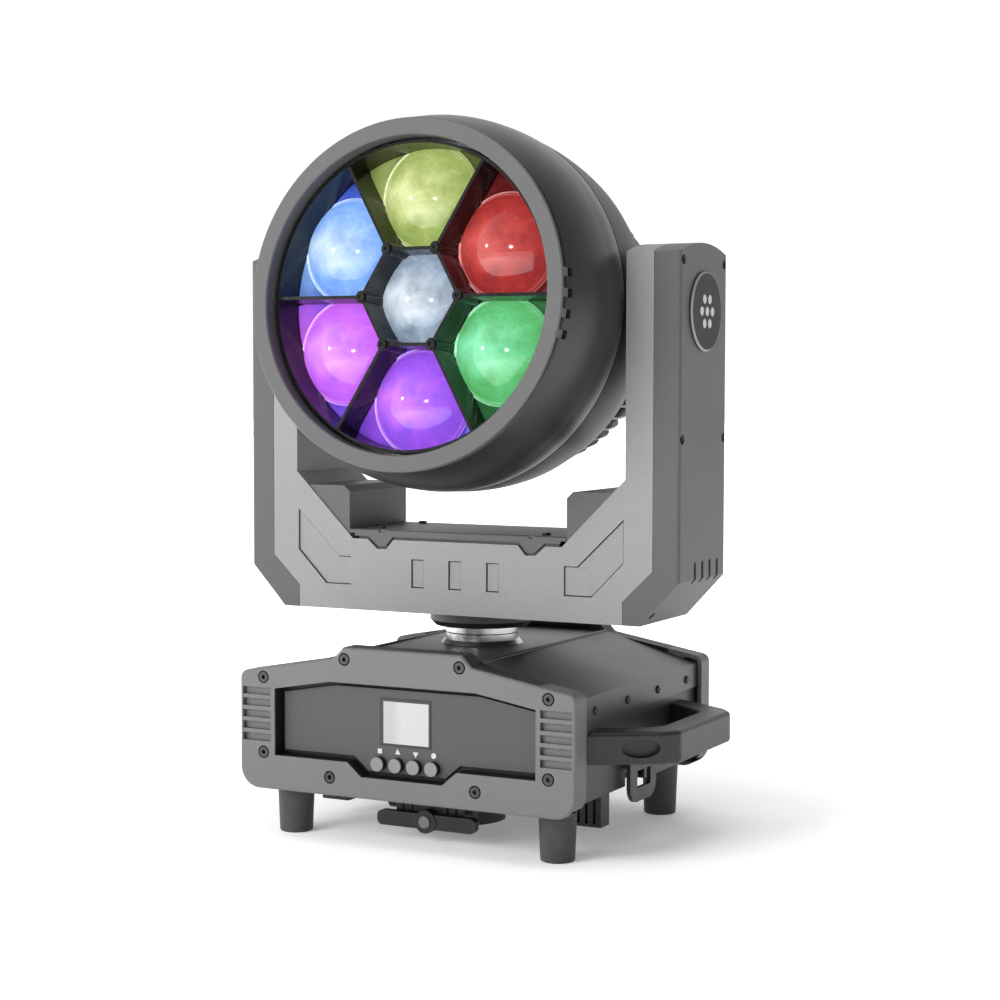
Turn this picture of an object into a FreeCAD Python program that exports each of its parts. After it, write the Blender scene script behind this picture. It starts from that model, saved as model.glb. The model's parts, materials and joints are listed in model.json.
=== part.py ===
import FreeCAD, Part
import math
import os

# Moving head wash light with a seven-lens zoom cluster.
# Millimetres.  Origin on the floor under the pan axis, +Z up, the display faces -Y.
# The head is built level, with its optical axis along -Y, and then tipped up to its rest angle.
# Along the head axis, "s" is the distance forward of the tilt axis, so y = -s.

Vector = FreeCAD.Vector
X_AXIS = Vector(1, 0, 0)
Y_AXIS = Vector(0, 1, 0)
Z_AXIS = Vector(0, 0, 1)

# ---- Base ---------------------------------------------------------------------------------
BASE_HALF_WIDTH = 130.0
BASE_FRONT = 118.0           # bezel face, front and rear alike
BEZEL_BACK = 101.0           # where a bezel meets the tray and the top cover
BEZEL_WALL = 3.0
BEZEL_BOTTOM = 34.0
BEZEL_PLATEAU = (46.0, 137.3)
BEZEL_STEP = (53.6, 129.4)
BEZEL_SHOULDER_Z = 116.0
POCKET_OUTLINE = [(56.4, 113.0), (101.3, 105.2), (101.3, 58.4), (42.5, 58.4), (31.5, 49.0)]
POCKET_FLOOR = 106.0
POCKET_FLOOR_WALL = 2.0
PANEL_FACE = 110.0
PANEL_GAP = 3.5              # dark groove between a bezel and its inset panel
VENT_PITCH = 8.1
VENT_COUNT = 5
VENT_BOTTOM = 67.6
VENT_HEIGHT = 5.4
VENT_INNER_X = 104.5
VENT_OUTER_X = 127.5
VENT_DEPTH = 3.5
BEZEL_SCREWS = [(110.4, 112.7), (110.4, 60.0), (44.6, 129.1), (56.5, 46.8)]
SCREW_HEAD_R = 3.5
SCREW_HEAD_H = 3.4
SCREW_SHANK_R = 2.0
SCREW_HOLE_R = 2.1
SCREW_SOCKET_R = 1.75
COUNTERBORE_R = 4.5

COVER_HALF_WIDTH = 126.6
COVER_SKIRT_Z = 94.0
COVER_FOLD_Z = 111.5
COVER_CREASE = (52.0, 131.0)
SHEET = 2.0
SHEET_GAP = 0.2
TRAY_HALF_WIDTH = COVER_HALF_WIDTH - SHEET - SHEET_GAP
TRAY_BOTTOM = 41.0
TRAY_TOP = 108.0
SHEET_END = BEZEL_BACK - 0.1

FOOT_X = 103.0
FOOT_Y = 87.5
FOOT_BOTTOM_R = 11.7
FOOT_TOP_R = 13.3

DISPLAY_X = -1.0
DISPLAY_Z = 87.2
DISPLAY_SIZE = (40.0, 33.0)
BUTTON_PITCH = 14.0
BUTTON_COUNT = 4
BUTTON_Z = 58.2
BUTTON_R = 5.0
BUTTON_FACE = 114.8
BUTTON_TRAVEL = 1.2
RUNNING_GAP = 0.08           # radial clearance of everything that turns or slides

SOCKET_X = [-68.0, -30.0, 30.0, 68.0]
SOCKET_Z = 84.0

EYE_Y = (-33.0, 12.0)
EYE_Z = (30.0, 64.0)
EYE_NOTCH = (113.0, 50.0)    # the tray is cut away behind the safety eye, outside this x and below this z

HANDLE_CENTRE_Y = -4.0
HANDLE_Z = (65.4, 87.4)
HANDLE_REACH = 175.5

# ---- Pan column ---------------------------------------------------------------------------
SHAFT_R = 18.0
SHAFT_BORE_R = 12.0
SHAFT_TOP = 204.0
COLLAR_R = 26.0
COLLAR_FOOT = (29.5, 3.0)    # radius and height of the lower collar's foot
LOWER_COLLAR = (131.0, 138.4)
UPPER_COLLAR = (139.2, 144.0)
FLANGE_R = 37.5
PAN_BELT_PLANE = (193.5, 202.5)
PAN_MOTOR_X = 78.0
LARGE_TEETH = 72
SMALL_TEETH = 20
BELT_PITCH = 3.0
BELT_THICKNESS = 1.5
MOTOR_SIDE = 42.0
MOTOR_SHAFT_R = 2.5

# ---- Yoke ---------------------------------------------------------------------------------
YOKE_HALF_DEPTH = 42.0
YOKE_WALL = 3.0
YOKE_BOTTOM = 154.0
SEAM_X = 150.7               # joint between the casing and an arm cover
SEAM_FOOT = (128.7, 170.0)
SEAM_CORNER_Z = 191.3
SEAM_GAP = 0.3
ARM_OUTER_X = 170.0
ARM_CORNER = (141.6, 184.7)  # foot of the outer chamfer, and the height where it ends
ARM_INNER_X = 130.7
ARM_CHAMFER_Z = 252.9        # height where the inner chamfer meets the arm
CROSSBAR_TOP = 205.5
ARM_TOP = 412.8
ARM_TOP_R = 129.5            # the arms' tops are arched front to back
NOTCH_BOTTOM = 198.7
NOTCH_FLOOR_X = (55.5, 63.3)
NOTCH_SLOPES = (0.87, 1.13)  # how far each side of a notch leans out for each millimetre up
LID_GROOVE = 2.1             # dark gap between the lid's skirt and the crossbar
LID_BOTTOM = 209.5
LID_TOP = 212.5
LID_HALF_WIDTH = 86.5
LID_POST_X = 66.0
LID_POST_Y = 30.0
HOUSING_TOP = 243.5
HOUSING_X = 86.7
TILT_Z = 366.5
BADGE_R = 27.3
BADGE_THICKNESS = 2.2
ARM_SCREWS = [(-37.0, 400.0), (37.0, 400.0), (-37.5, 280.2), (37.5, 280.2)]
ARM_VENT_Y = (-13.5, 0.0, 13.5, 27.0)
TILT_MOTOR_Z = 217.0
TILT_BELT_PLANE = (139.5, 148.5)
AXLE_R = 15.0
AXLE_BORE_R = 10.0
BEARING_R = 23.0

# ---- Head ---------------------------------------------------------------------------------
REST_TILT = 5.0              # degrees above level
RING_FRONT = 117.0
RING_BACK = 115.5            # back face of the flat ring; the groove behind it ends at the barrel
SPIGOT_BACK = 104.0
RING_R = 119.0
RING_INNER_R = 107.5
TAB = (108.5, 118.8, 5.7)    # a tab's back end, outer radius and width
TAB_PITCH = 6.5
TAB_NOTCH = (105.5, 5.9)     # back end and width of the notch in the barrel behind a tab
BARREL_FRONT = 111.0
BARREL_BACK = 40.0
FIN_FRONT = -25.4
FIN_BACK = -92.0
FIN_COUNT = 64
FIN_THICKNESS = 2.0
CELL_HEX_R = 37.35           # centre cell, across its corners / 2
CELL_RING_R = 70.0           # where the six outer lenses sit
CELL_WALL = 2.3
CELL_FRONT = 107.0
CELL_PLATE = (76.0, 79.0)
HOOP_R = 105.5
HOOP_WALL = 2.0
CENTRE_LENS = (35.5, 18.0)   # dome radius and height before the cell trims it
OUTER_LENS = (37.0, 19.5)
LENS_FLANGE = (79.05, 81.6)
POST_R = 4.4
GUIDE_RING_R = 109.0
GUIDE_R = 2.5
GUIDE_ANGLES = (30.0, 150.0, 270.0)
LEAD_SCREW_R = 3.0
LEAD_SCREW_ANGLE = 90.0
ROD_RING = (88.0, 92.0)
ZOOM_TRAVEL = 25.0

# ---- Clamps under the base ----------------------------------------------------------------
HOOK_PIN_Y = 72.0
HOOK_PIN_Z = 26.0
HOOK_PIN_R = 3.0
FORK_R = 5.5
HOOK_REACH = 37.0            # from the pin to the middle of the clamped tube
TUBE_R = 25.4
HOOK_THICKNESS = 22.0
HOOK_HALF_WIDTH = 27.0
WING_Z = 15.0
WING_HALF_SPAN = 38.5
WING_HALF_THICKNESS = 5.2
WING_BOSS_R = 8.0


# ==== Shape helpers ========================================================================
def box(x0, x1, y0, y1, z0, z1):
    return Part.makeBox(x1 - x0, y1 - y0, z1 - z0, Vector(x0, y0, z0))


def rod_x(y, z, radius, x0, x1):
    return Part.makeCylinder(radius, x1 - x0, Vector(x0, y, z), X_AXIS)


def rod_y(x, z, radius, y0, y1):
    return Part.makeCylinder(radius, y1 - y0, Vector(x, y0, z), Y_AXIS)


def rod_z(x, y, radius, z0, z1):
    return Part.makeCylinder(radius, z1 - z0, Vector(x, y, z0), Z_AXIS)


def tube_z(outer, inner, z0, z1):
    return rod_z(0, 0, outer, z0, z1).cut(rod_z(0, 0, inner, z0 - 1, z1 + 1))


def wire_of(corners):
    return Part.makePolygon(list(corners) + [corners[0]])


def plate_y(points, y0, y1):
    """Extrude an outline of (x, z) points from y0 to y1."""
    wire = wire_of([Vector(x, y0, z) for x, z in points])
    return Part.Face(wire).extrude(Vector(0, y1 - y0, 0))


def plate_x(points, x0, x1):
    """Extrude an outline of (y, z) points from x0 to x1."""
    wire = wire_of([Vector(x0, y, z) for y, z in points])
    return Part.Face(wire).extrude(Vector(x1 - x0, 0, 0))


def plate_z(points, z0, z1):
    """Extrude an outline of (x, y) points from z0 to z1."""
    wire = wire_of([Vector(x, y, z0) for x, y in points])
    return Part.Face(wire).extrude(Vector(0, 0, z1 - z0))


def both_halves(half):
    """Complete a right-hand outline, given from top to bottom, with its left-hand mirror."""
    return list(half) + [(-x, z) for x, z in reversed(half)]


def offset_outline(points, distance):
    """Move every side of an outline outwards by distance, or inwards if it is negative."""
    wire = wire_of([Vector(x, y, 0) for x, y in points])
    moved = wire.makeOffset2D(distance, 2)
    return [(v.X, v.Y) for v in moved.OrderedVertexes]


def turned(start, *steps):
    """Revolve a closed (s, r) outline about the head axis.

    A step is the next point, or a pair (middle, end) for an arc through middle."""
    def place(point):
        return Vector(0, -point[0], TILT_Z + point[1])
    edges = []
    here = start
    for step in steps:
        if isinstance(step[0], tuple):
            edges.append(Part.Arc(place(here), place(step[0]), place(step[1])).toShape())
            here = step[1]
        else:
            edges.append(Part.LineSegment(place(here), place(step)).toShape())
            here = step
    edges.append(Part.LineSegment(place(here), place(start)).toShape())
    return Part.Face(Part.Wire(edges)).revolve(Vector(0, 0, TILT_Z), Y_AXIS, 360)


def on_head(radius, angle):
    """The x and z of a point at this radius and angle around the level head axis."""
    turn = math.radians(angle)
    return radius * math.cos(turn), TILT_Z + radius * math.sin(turn)


def head_rod(ring_r, angle, radius, s0, s1):
    x, z = on_head(ring_r, angle)
    return rod_y(x, z, radius, -s1, -s0)


def round_edges(shape, radius, chosen):
    return shape.makeFillet(radius, [edge for edge in shape.Edges if chosen(edge)])


def runs_along(edge, axis, length):
    """True for a straight edge of this length along the axis."""
    if len(edge.Vertexes) != 2:
        return False
    span = edge.Vertexes[1].Point - edge.Vertexes[0].Point
    return abs(abs(span.dot(axis)) - length) < 0.01 and abs(edge.Length - length) < 0.01


def mirrored(shape):
    return shape.mirror(Vector(0, 0, 0), X_AXIS)


def half_turn(shape):
    """Turn a front piece into its rear twin."""
    twin = shape.copy()
    twin.rotate(Vector(0, 0, 0), Z_AXIS, 180)
    return twin


def tipped(shape):
    """Tip a level head piece up to the rest angle."""
    piece = shape.copy()
    piece.rotate(Vector(0, 0, TILT_Z), X_AXIS, -REST_TILT)
    return piece


def save(name, *shapes):
    solids = [solid for shape in shapes for solid in shape.Solids]
    piece = solids[0] if len(solids) == 1 else Part.makeCompound(solids)
    piece.exportStep("parts/" + name + ".step")


def pulley_radius(teeth):
    return teeth * BELT_PITCH / (2 * math.pi)


def toothed_disc(teeth, z0, z1):
    """A timing pulley on the Z axis, with one round groove for each tooth gap."""
    radius = pulley_radius(teeth)
    disc = rod_z(0, 0, radius, z0, z1)
    grooves = []
    for number in range(teeth):
        turn = 2 * math.pi * number / teeth
        grooves.append(rod_z(radius * math.cos(turn), radius * math.sin(turn), 0.7, z0 - 1, z1 + 1))
    return disc.cut(Part.makeCompound(grooves))


def loop_plate(large_r, small_r, distance, z0, z1):
    """The area inside a belt that runs round two discs, the small one at +X."""
    turn = math.acos((large_r - small_r) / distance)
    cos, sin = math.cos(turn), math.sin(turn)
    far_x = distance + small_r * cos
    corners = [(large_r * cos, large_r * sin), (far_x, small_r * sin),
               (far_x, -small_r * sin), (large_r * cos, -large_r * sin)]
    shape = plate_z(corners, z0, z1).fuse(rod_z(0, 0, large_r, z0, z1))
    return shape.fuse(rod_z(distance, 0, small_r, z0, z1))


def belt(distance, z0, z1):
    large = pulley_radius(LARGE_TEETH) + RUNNING_GAP
    small = pulley_radius(SMALL_TEETH) + RUNNING_GAP
    outside = loop_plate(large + BELT_THICKNESS, small + BELT_THICKNESS, distance, z0, z1)
    return outside.cut(loop_plate(large, small, distance, z0 - 1, z1 + 1)).removeSplitter()


def motor_pulley(z0, z1, shaft_start):
    """A small flanged pulley, with the motor shaft that carries it."""
    flange_r = pulley_radius(SMALL_TEETH) + 2.8
    shape = toothed_disc(SMALL_TEETH, z0, z1)
    for start in (z0 - 1.5, z1 + 0.3):
        shape = shape.fuse(rod_z(0, 0, flange_r, start, start + 1.2))
    return shape.fuse(rod_z(0, 0, MOTOR_SHAFT_R, shaft_start, z1 + 1.5)).removeSplitter()


def motor(z0, z1):
    """A square stepper motor on the Z axis, its shaft bore open at the top."""
    half = MOTOR_SIDE / 2
    body = box(-half, half, -half, half, z0, z1)
    body = body.makeChamfer(4.0, [e for e in body.Edges if runs_along(e, Z_AXIS, z1 - z0)])
    boss = rod_z(0, 0, 11.0, z1, z1 + 1.5)
    return body.fuse(boss).cut(rod_z(0, 0, MOTOR_SHAFT_R + RUNNING_GAP, z0 + 4, z1 + 2))


def socket_screw(length):
    """A socket head screw along +Y, its head's underside at y = 0."""
    head = rod_y(0, 0, SCREW_HEAD_R, -SCREW_HEAD_H, 0)
    corners = [math.radians(angle) for angle in range(0, 360, 60)]
    hexagon = [(SCREW_SOCKET_R * math.cos(turn), SCREW_SOCKET_R * math.sin(turn)) for turn in corners]
    head = head.cut(plate_y(hexagon, -SCREW_HEAD_H - 1, -SCREW_HEAD_H + 2.2))
    return head.fuse(rod_y(0, 0, SCREW_SHANK_R, 0, length))


# ==== Base =================================================================================
def bezel_outline():
    half = [BEZEL_PLATEAU, BEZEL_STEP, (BASE_HALF_WIDTH, BEZEL_SHOULDER_Z), (BASE_HALF_WIDTH, BEZEL_BOTTOM)]
    return both_halves(half)


def bezel_block():
    """The bezel's outer form, with its corners and front edge rounded."""
    depth = BASE_FRONT - BEZEL_BACK
    block = plate_y(bezel_outline(), -BASE_FRONT, -BEZEL_BACK)
    for height, radius in ((BEZEL_BOTTOM, 15.0), (BEZEL_SHOULDER_Z, 6.0), (BEZEL_STEP[1], 4.0)):
        block = round_edges(block, radius, lambda edge: runs_along(edge, Y_AXIS, depth)
                            and abs(edge.CenterOfMass.z - height) < 0.1)
    return round_edges(block, 2.0, lambda edge: edge.BoundBox.YMax < -BASE_FRONT + 0.01)


def bezel(*floor_openings):
    """A bezel with its pocket, blind side vents and screw bosses; a floor opening is (x0, x1, z0, z1)."""
    pocket = both_halves(POCKET_OUTLINE)
    hollow = plate_y(offset_outline(bezel_outline(), -BEZEL_WALL), -BASE_FRONT + BEZEL_WALL, -BEZEL_BACK + 1)
    floor_back = POCKET_FLOOR - POCKET_FLOOR_WALL
    pocket_block = plate_y(offset_outline(pocket, BEZEL_WALL), -BASE_FRONT + BEZEL_WALL, -floor_back)
    shape = bezel_block().cut(hollow).fuse(pocket_block)
    vent_floor = -BASE_FRONT + VENT_DEPTH
    vent_top = VENT_BOTTOM + VENT_PITCH * VENT_COUNT
    backing = box(VENT_INNER_X - 2, VENT_OUTER_X, vent_floor - 0.5, vent_floor + 2.5, VENT_BOTTOM - 2, vent_top)
    shape = shape.fuse(backing).fuse(mirrored(backing))
    for x, z in BEZEL_SCREWS:
        for side in (-1, 1):
            shape = shape.fuse(rod_y(side * x, z, 5.8, -BASE_FRONT + BEZEL_WALL - 0.5, -BEZEL_BACK))
    shape = shape.common(bezel_block())
    cuts = [plate_y(pocket, -BASE_FRONT - 1, -POCKET_FLOOR)]
    for x0, x1, z0, z1 in floor_openings:
        cuts.append(box(x0, x1, -BASE_FRONT, -BEZEL_BACK, z0, z1))
    for x, z in BEZEL_SCREWS:
        for side in (-1, 1):
            cuts.append(rod_y(side * x, z, SCREW_HOLE_R, -BASE_FRONT - 1, -BEZEL_BACK + 1))
            cuts.append(rod_y(side * x, z, COUNTERBORE_R, -BASE_FRONT - 1, -BASE_FRONT + SCREW_HEAD_H))
    for number in range(VENT_COUNT):
        bottom = VENT_BOTTOM + VENT_PITCH * number
        for x0, x1 in ((VENT_INNER_X, VENT_OUTER_X), (-VENT_OUTER_X, -VENT_INNER_X)):
            cuts.append(box(x0, x1, -BASE_FRONT - 1, vent_floor, bottom, bottom + VENT_HEIGHT))
    return shape.cut(Part.makeCompound(cuts)).removeSplitter()


def panel_plate():
    outline = offset_outline(both_halves(POCKET_OUTLINE), -PANEL_GAP)
    return plate_y(outline, -PANEL_FACE, -POCKET_FLOOR)


def button_x(number):
    return (number - (BUTTON_COUNT - 1) / 2) * BUTTON_PITCH


def control_panel():
    width, height = DISPLAY_SIZE
    shape = panel_plate()
    shape = shape.cut(box(DISPLAY_X - width / 2, DISPLAY_X + width / 2, -PANEL_FACE - 1, -PANEL_FACE + 2.5,
                          DISPLAY_Z - height / 2, DISPLAY_Z + height / 2))
    shape = shape.cut(box(DISPLAY_X - width / 2 + 1.5, DISPLAY_X + width / 2 - 1.5, -PANEL_FACE, -POCKET_FLOOR + 1,
                          DISPLAY_Z - height / 2 + 1.5, DISPLAY_Z + height / 2 - 1.5))
    for number in range(BUTTON_COUNT):
        shape = shape.cut(rod_y(button_x(number), BUTTON_Z, BUTTON_R + RUNNING_GAP,
                                -PANEL_FACE - 1, -POCKET_FLOOR + 1))
    return shape


def display_window():
    width, height = (side - 0.2 for side in DISPLAY_SIZE)
    return box(DISPLAY_X - width / 2, DISPLAY_X + width / 2, -PANEL_FACE - 0.5, -PANEL_FACE + 2.4,
               DISPLAY_Z - height / 2, DISPLAY_Z + height / 2)


def menu_button(number):
    cap = rod_y(0, 0, BUTTON_R, -BUTTON_FACE, -POCKET_FLOOR - 0.6)
    cap = round_edges(cap, 0.6, lambda edge: edge.BoundBox.YMax < -BUTTON_FACE + 0.01)
    shape = cap.fuse(rod_y(0, 0, 2.0, -POCKET_FLOOR - 0.6, -BEZEL_BACK - 0.4))
    shape.translate(Vector(button_x(number), 0, BUTTON_Z))
    return shape


def control_boards():
    """The board behind the display, on four pillars, and the main board on the tray."""
    back = POCKET_FLOOR - POCKET_FLOOR_WALL
    board = box(-45, 45, -99.4, -97.8, 50.5, 107)
    lcd = box(DISPLAY_X - 18, DISPLAY_X + 18, -PANEL_FACE + 2.8, -99.4, DISPLAY_Z - 14.5, DISPLAY_Z + 14.5)
    display = board.fuse(lcd)
    for x in (-40, 40):
        for z in (66, 100):
            display = display.fuse(rod_y(x, z, 3.0, -back, -99.4))
    main = box(-110, -20, -60, 50, 49, 50.6)
    for x in (-104, -26):
        for y in (-54, 44):
            main = main.fuse(rod_z(x, y, 3.0, TRAY_BOTTOM + SHEET, 49))
    for x, y, w, d, h in ((-90, -30, 18, 18, 3), (-60, 10, 24, 12, 9), (-40, -40, 14, 10, 12), (-95, 25, 12, 20, 14)):
        main = main.fuse(box(x - w / 2, x + w / 2, y - d / 2, y + d / 2, 50.6, 50.6 + h))
    return [display.removeSplitter(), main.removeSplitter()]


def power_supply():
    shape = box(20, 112, -60, 70, TRAY_BOTTOM + SHEET, 83)
    slots = [box(x, x + 3, -62, 72, 76, 84) for x in range(28, 106, 8)]
    return shape.cut(Part.makeCompound([slot.common(box(0, 130, -50, 60, 60, 90)) for slot in slots]))


def rear_panel():
    shape = half_turn(panel_plate())
    for x in SOCKET_X:
        shape = shape.cut(rod_y(x, SOCKET_Z, 11.0, POCKET_FLOOR - 1, PANEL_FACE + 1))
    return shape


def rear_socket(x):
    """A round panel socket: flange, barrel, open cavity and three contact pins."""
    shape = rod_y(x, SOCKET_Z, 13.5, PANEL_FACE, PANEL_FACE + 2).fuse(rod_y(x, SOCKET_Z, 10.9, 95, PANEL_FACE))
    shape = shape.cut(rod_y(x, SOCKET_Z, 8.2, 98, PANEL_FACE + 3))
    for angle in (90, 210, 330):
        turn = math.radians(angle)
        shape = shape.fuse(rod_y(x + 4.0 * math.cos(turn), SOCKET_Z + 4.0 * math.sin(turn), 0.9, 98, 104))
    return shape.removeSplitter()


def base_tray():
    end = SHEET_END
    shape = box(-TRAY_HALF_WIDTH, TRAY_HALF_WIDTH, -end, end, TRAY_BOTTOM, TRAY_TOP)
    inner = TRAY_HALF_WIDTH - SHEET
    shape = shape.cut(box(-inner, inner, -end + SHEET, end - SHEET, TRAY_BOTTOM + SHEET, TRAY_TOP + 1))
    notch_x, notch_z = EYE_NOTCH
    cuts = [box(notch_x, TRAY_HALF_WIDTH + 1, EYE_Y[0] + 8, EYE_Y[1] - 4, TRAY_BOTTOM - 1, notch_z)]
    for y0, y1 in ((-end - 1, -end + SHEET + 0.1), (end - SHEET - 0.1, end + 1)):
        cuts.append(box(-TRAY_HALF_WIDTH - 1, TRAY_HALF_WIDTH + 1, y0, y1, COVER_SKIRT_Z - SHEET_GAP, TRAY_TOP + 1))
        cuts.append(box(-88, 88, y0, y1, 49, COVER_SKIRT_Z))
        for x, z in BEZEL_SCREWS:
            if z < COVER_SKIRT_Z:
                cuts.extend(rod_y(side * x, z, SCREW_HOLE_R, y0, y1) for side in (-1, 1))
    return shape.cut(Part.makeCompound(cuts))


def cover_outline():
    half = [COVER_CREASE, (COVER_HALF_WIDTH, COVER_FOLD_Z), (COVER_HALF_WIDTH, COVER_SKIRT_Z)]
    return both_halves(half)


def cover_screw_positions():
    """The (y, z) places of the screws in a skirt of the cover."""
    return [(y, 101.4) for y in (-79.8, -26.5, 26.5, 79.8)]


def base_top_cover():
    end = SHEET_END
    drop = SHEET
    inside = both_halves([(COVER_CREASE[0] - 0.3, COVER_CREASE[1] - drop),
                          (COVER_HALF_WIDTH - SHEET, COVER_FOLD_Z - 1.6),
                          (COVER_HALF_WIDTH - SHEET, COVER_SKIRT_Z - 1)])
    shape = plate_y(cover_outline(), -end, end).cut(plate_y(inside, -end + SHEET, end - SHEET))
    shape = shape.cut(rod_z(0, 0, SHAFT_R + 0.2, 100, 140))
    for x in (-COVER_CREASE[0], COVER_CREASE[0]):
        shape = shape.fuse(rod_y(x, COVER_CREASE[1] - 0.4, 1.5, -end, end))
    cuts = []
    for y0, y1 in ((-end - 1, -end + SHEET + 0.1), (end - SHEET - 0.1, end + 1)):
        cuts.append(box(-88, 88, y0, y1, COVER_SKIRT_Z - 1, 108))
        cuts.extend(rod_y(side * 110.4, 112.7, SCREW_HOLE_R, y0, y1) for side in (-1, 1))
    for y, z in cover_screw_positions():
        cuts.append(rod_x(y, z, 1.6, -COVER_HALF_WIDTH - 1, COVER_HALF_WIDTH + 1))
    return shape.cut(Part.makeCompound(cuts))


def small_screw(y, z, face):
    """A pan head screw along -X, its head on the plane x = face."""
    head = rod_x(y, z, 2.9, face, face + 1.3)
    head = round_edges(head, 0.8, lambda edge: edge.BoundBox.XMin > face + 1.2)
    cross = box(face + 0.7, face + 2, y - 1.8, y + 1.8, z - 0.35, z + 0.35)
    cross = cross.fuse(box(face + 0.7, face + 2, y - 0.35, y + 0.35, z - 1.8, z + 1.8))
    return head.cut(cross).fuse(rod_x(y, z, 1.5, face - 1.9, face))


def cover_screws():
    right = [small_screw(y, z, COVER_HALF_WIDTH) for y, z in cover_screw_positions()]
    return right + [mirrored(screw) for screw in right]


def screw_reach(z):
    """How far from the pan axis a bezel screw ends: in the bezel, in the cover's end or behind the tray."""
    if z > COVER_CREASE[1] - SHEET - SCREW_SHANK_R:
        return BEZEL_BACK + 0.5
    return SHEET_END - SHEET + 0.1 if z > COVER_SKIRT_Z else BEZEL_BACK - 4


def bezel_screws():
    front = []
    for x, z in BEZEL_SCREWS:
        reach = screw_reach(z)
        for side in (-1, 1):
            screw = socket_screw(BASE_FRONT - SCREW_HEAD_H - reach)
            screw.translate(Vector(side * x, -BASE_FRONT + SCREW_HEAD_H, z))
            front.append(screw)
    return front + [half_turn(screw) for screw in front]


def handle():
    """A bow handle on the right side: slanted arms, a straight grip and an oval dimple in each arm."""
    outer = [(TRAY_HALF_WIDTH, 84.0), (168.0, 56.5), (HANDLE_REACH, 46.0)]
    inner = [(TRAY_HALF_WIDTH, 58.0), (150.5, 41.0), (156.0, 32.0)]
    z0, z1 = HANDLE_Z

    def bow(points):
        far = [(x, HANDLE_CENTRE_Y + y) for x, y in points]
        near = [(x, HANDLE_CENTRE_Y - y) for x, y in reversed(points)]
        return far + near
    shape = plate_z(bow(outer), z0, z1).cut(plate_z(bow(inner), z0 - 1, z1 + 1))
    shape = round_edges(shape, 6.0, lambda edge: runs_along(edge, Z_AXIS, z1 - z0) and edge.BoundBox.XMin > 140)
    shape = round_edges(shape, 3.0, lambda edge: edge.BoundBox.ZLength < 0.01 and edge.BoundBox.XMax > 126
                        and edge.BoundBox.XLength + edge.BoundBox.YLength > 6)
    (x0, y0), (x1, y1) = outer[0], outer[1]
    slant = math.degrees(math.atan2(y0 - y1, x1 - x0))
    for side in (-1, 1):
        centre = Vector(x0 + 0.7 * (x1 - x0), HANDLE_CENTRE_Y + side * (y0 + 0.7 * (y1 - y0)), (z0 + z1) / 2)
        oval = Part.Ellipse(Vector(0, 0, 0), 13.0, 6.4).toShape()
        dimple = Part.Face(Part.Wire(oval)).extrude(Vector(0, 0, 12))
        dimple.translate(Vector(0, 0, -6))
        dimple.rotate(Vector(0, 0, 0), X_AXIS, 90)
        dimple.rotate(Vector(0, 0, 0), Z_AXIS, -side * slant)
        dimple.translate(centre)
        shape = shape.cut(dimple)
    return shape


def feet():
    shapes = []
    for x in (-FOOT_X, FOOT_X):
        for y in (-FOOT_Y, FOOT_Y):
            foot = Part.makeCone(FOOT_BOTTOM_R, FOOT_TOP_R, TRAY_BOTTOM, Vector(x, y, 0), Z_AXIS)
            shapes.append(round_edges(foot, 1.5, lambda edge: edge.BoundBox.ZMax < 0.01))
    return shapes


def safety_eye():
    """A steel loop plate for a safety cable, held off the tray by a bar along its top."""
    (y0, y1), (z0, z1) = EYE_Y, EYE_Z
    face = TRAY_HALF_WIDTH + 4.4
    shape = box(face, face + 3, y0, y1, z0, z1)
    shape = round_edges(shape, 12.0, lambda edge: runs_along(edge, X_AXIS, 3.0) and edge.BoundBox.ZMax < z0 + 1)
    shape = shape.fuse(box(TRAY_HALF_WIDTH, face, y0, y1, z1 - 9, z1))
    return shape.cut(box(face - 1, face + 4, -21, 2, 39.5, 51.5)).removeSplitter()


def pan_shaft():
    shape = tube_z(SHAFT_R, SHAFT_BORE_R, 112, SHAFT_TOP)
    return shape.fuse(tube_z(46.0, SHAFT_BORE_R, 122, COVER_CREASE[1] - SHEET)).removeSplitter()


def pan_pulley():
    return toothed_disc(LARGE_TEETH, *PAN_BELT_PLANE).cut(rod_z(0, 0, SHAFT_R, 190, 210))


def lower_collar():
    bottom, top = LOWER_COLLAR
    foot_r, foot_h = COLLAR_FOOT
    foot = Part.makeCone(foot_r, COLLAR_R + 1.0, foot_h, Vector(0, 0, bottom), Z_AXIS)
    return foot.fuse(rod_z(0, 0, COLLAR_R, bottom, top)).cut(rod_z(0, 0, SHAFT_R, bottom - 1, top + 1))


def clamp_rail():
    """A rail under the tray with a fork and pin for each hook, and a cross bar with ribbed ends."""
    top = TRAY_BOTTOM
    under = top - 3
    rail = box(-20, 20, -HOOK_PIN_Y, HOOK_PIN_Y, under, top)
    rail = rail.fuse(box(-112, 112, -36, -14, under, top))
    fork_x = HOOK_HALF_WIDTH + 0.5
    for side in (-1, 1):
        pin_y = side * HOOK_PIN_Y
        rail = rail.fuse(box(-fork_x - 6, fork_x + 6, pin_y - FORK_R, pin_y + FORK_R, under, top))
        outer_y = side * (HOOK_PIN_Y + FORK_R + 1)
        y0, y1 = sorted((outer_y, side * (HOOK_PIN_Y + 1.5)))
        rail = rail.cut(box(-12, 12, y0, y1, under - 1, top + 1))
        for x in (-fork_x - 6, fork_x):
            rail = rail.fuse(box(x, x + 6, pin_y - FORK_R, pin_y + FORK_R, HOOK_PIN_Z, under))
            rail = rail.fuse(rod_x(pin_y, HOOK_PIN_Z, FORK_R, x, x + 6))
        rail = rail.fuse(rod_x(pin_y, HOOK_PIN_Z, HOOK_PIN_R, -fork_x - 6, fork_x + 6))
        x0, x1 = sorted((side * 90, side * 112))
        rail = rail.fuse(box(x0, x1, -38, -24, 13, under))
        for step in range(3):
            x = side * (95 + 6 * step)
            rail = rail.cut(box(x - 1.2, x + 1.2, -40, -35, 15, 36))
    return rail.removeSplitter()


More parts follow.
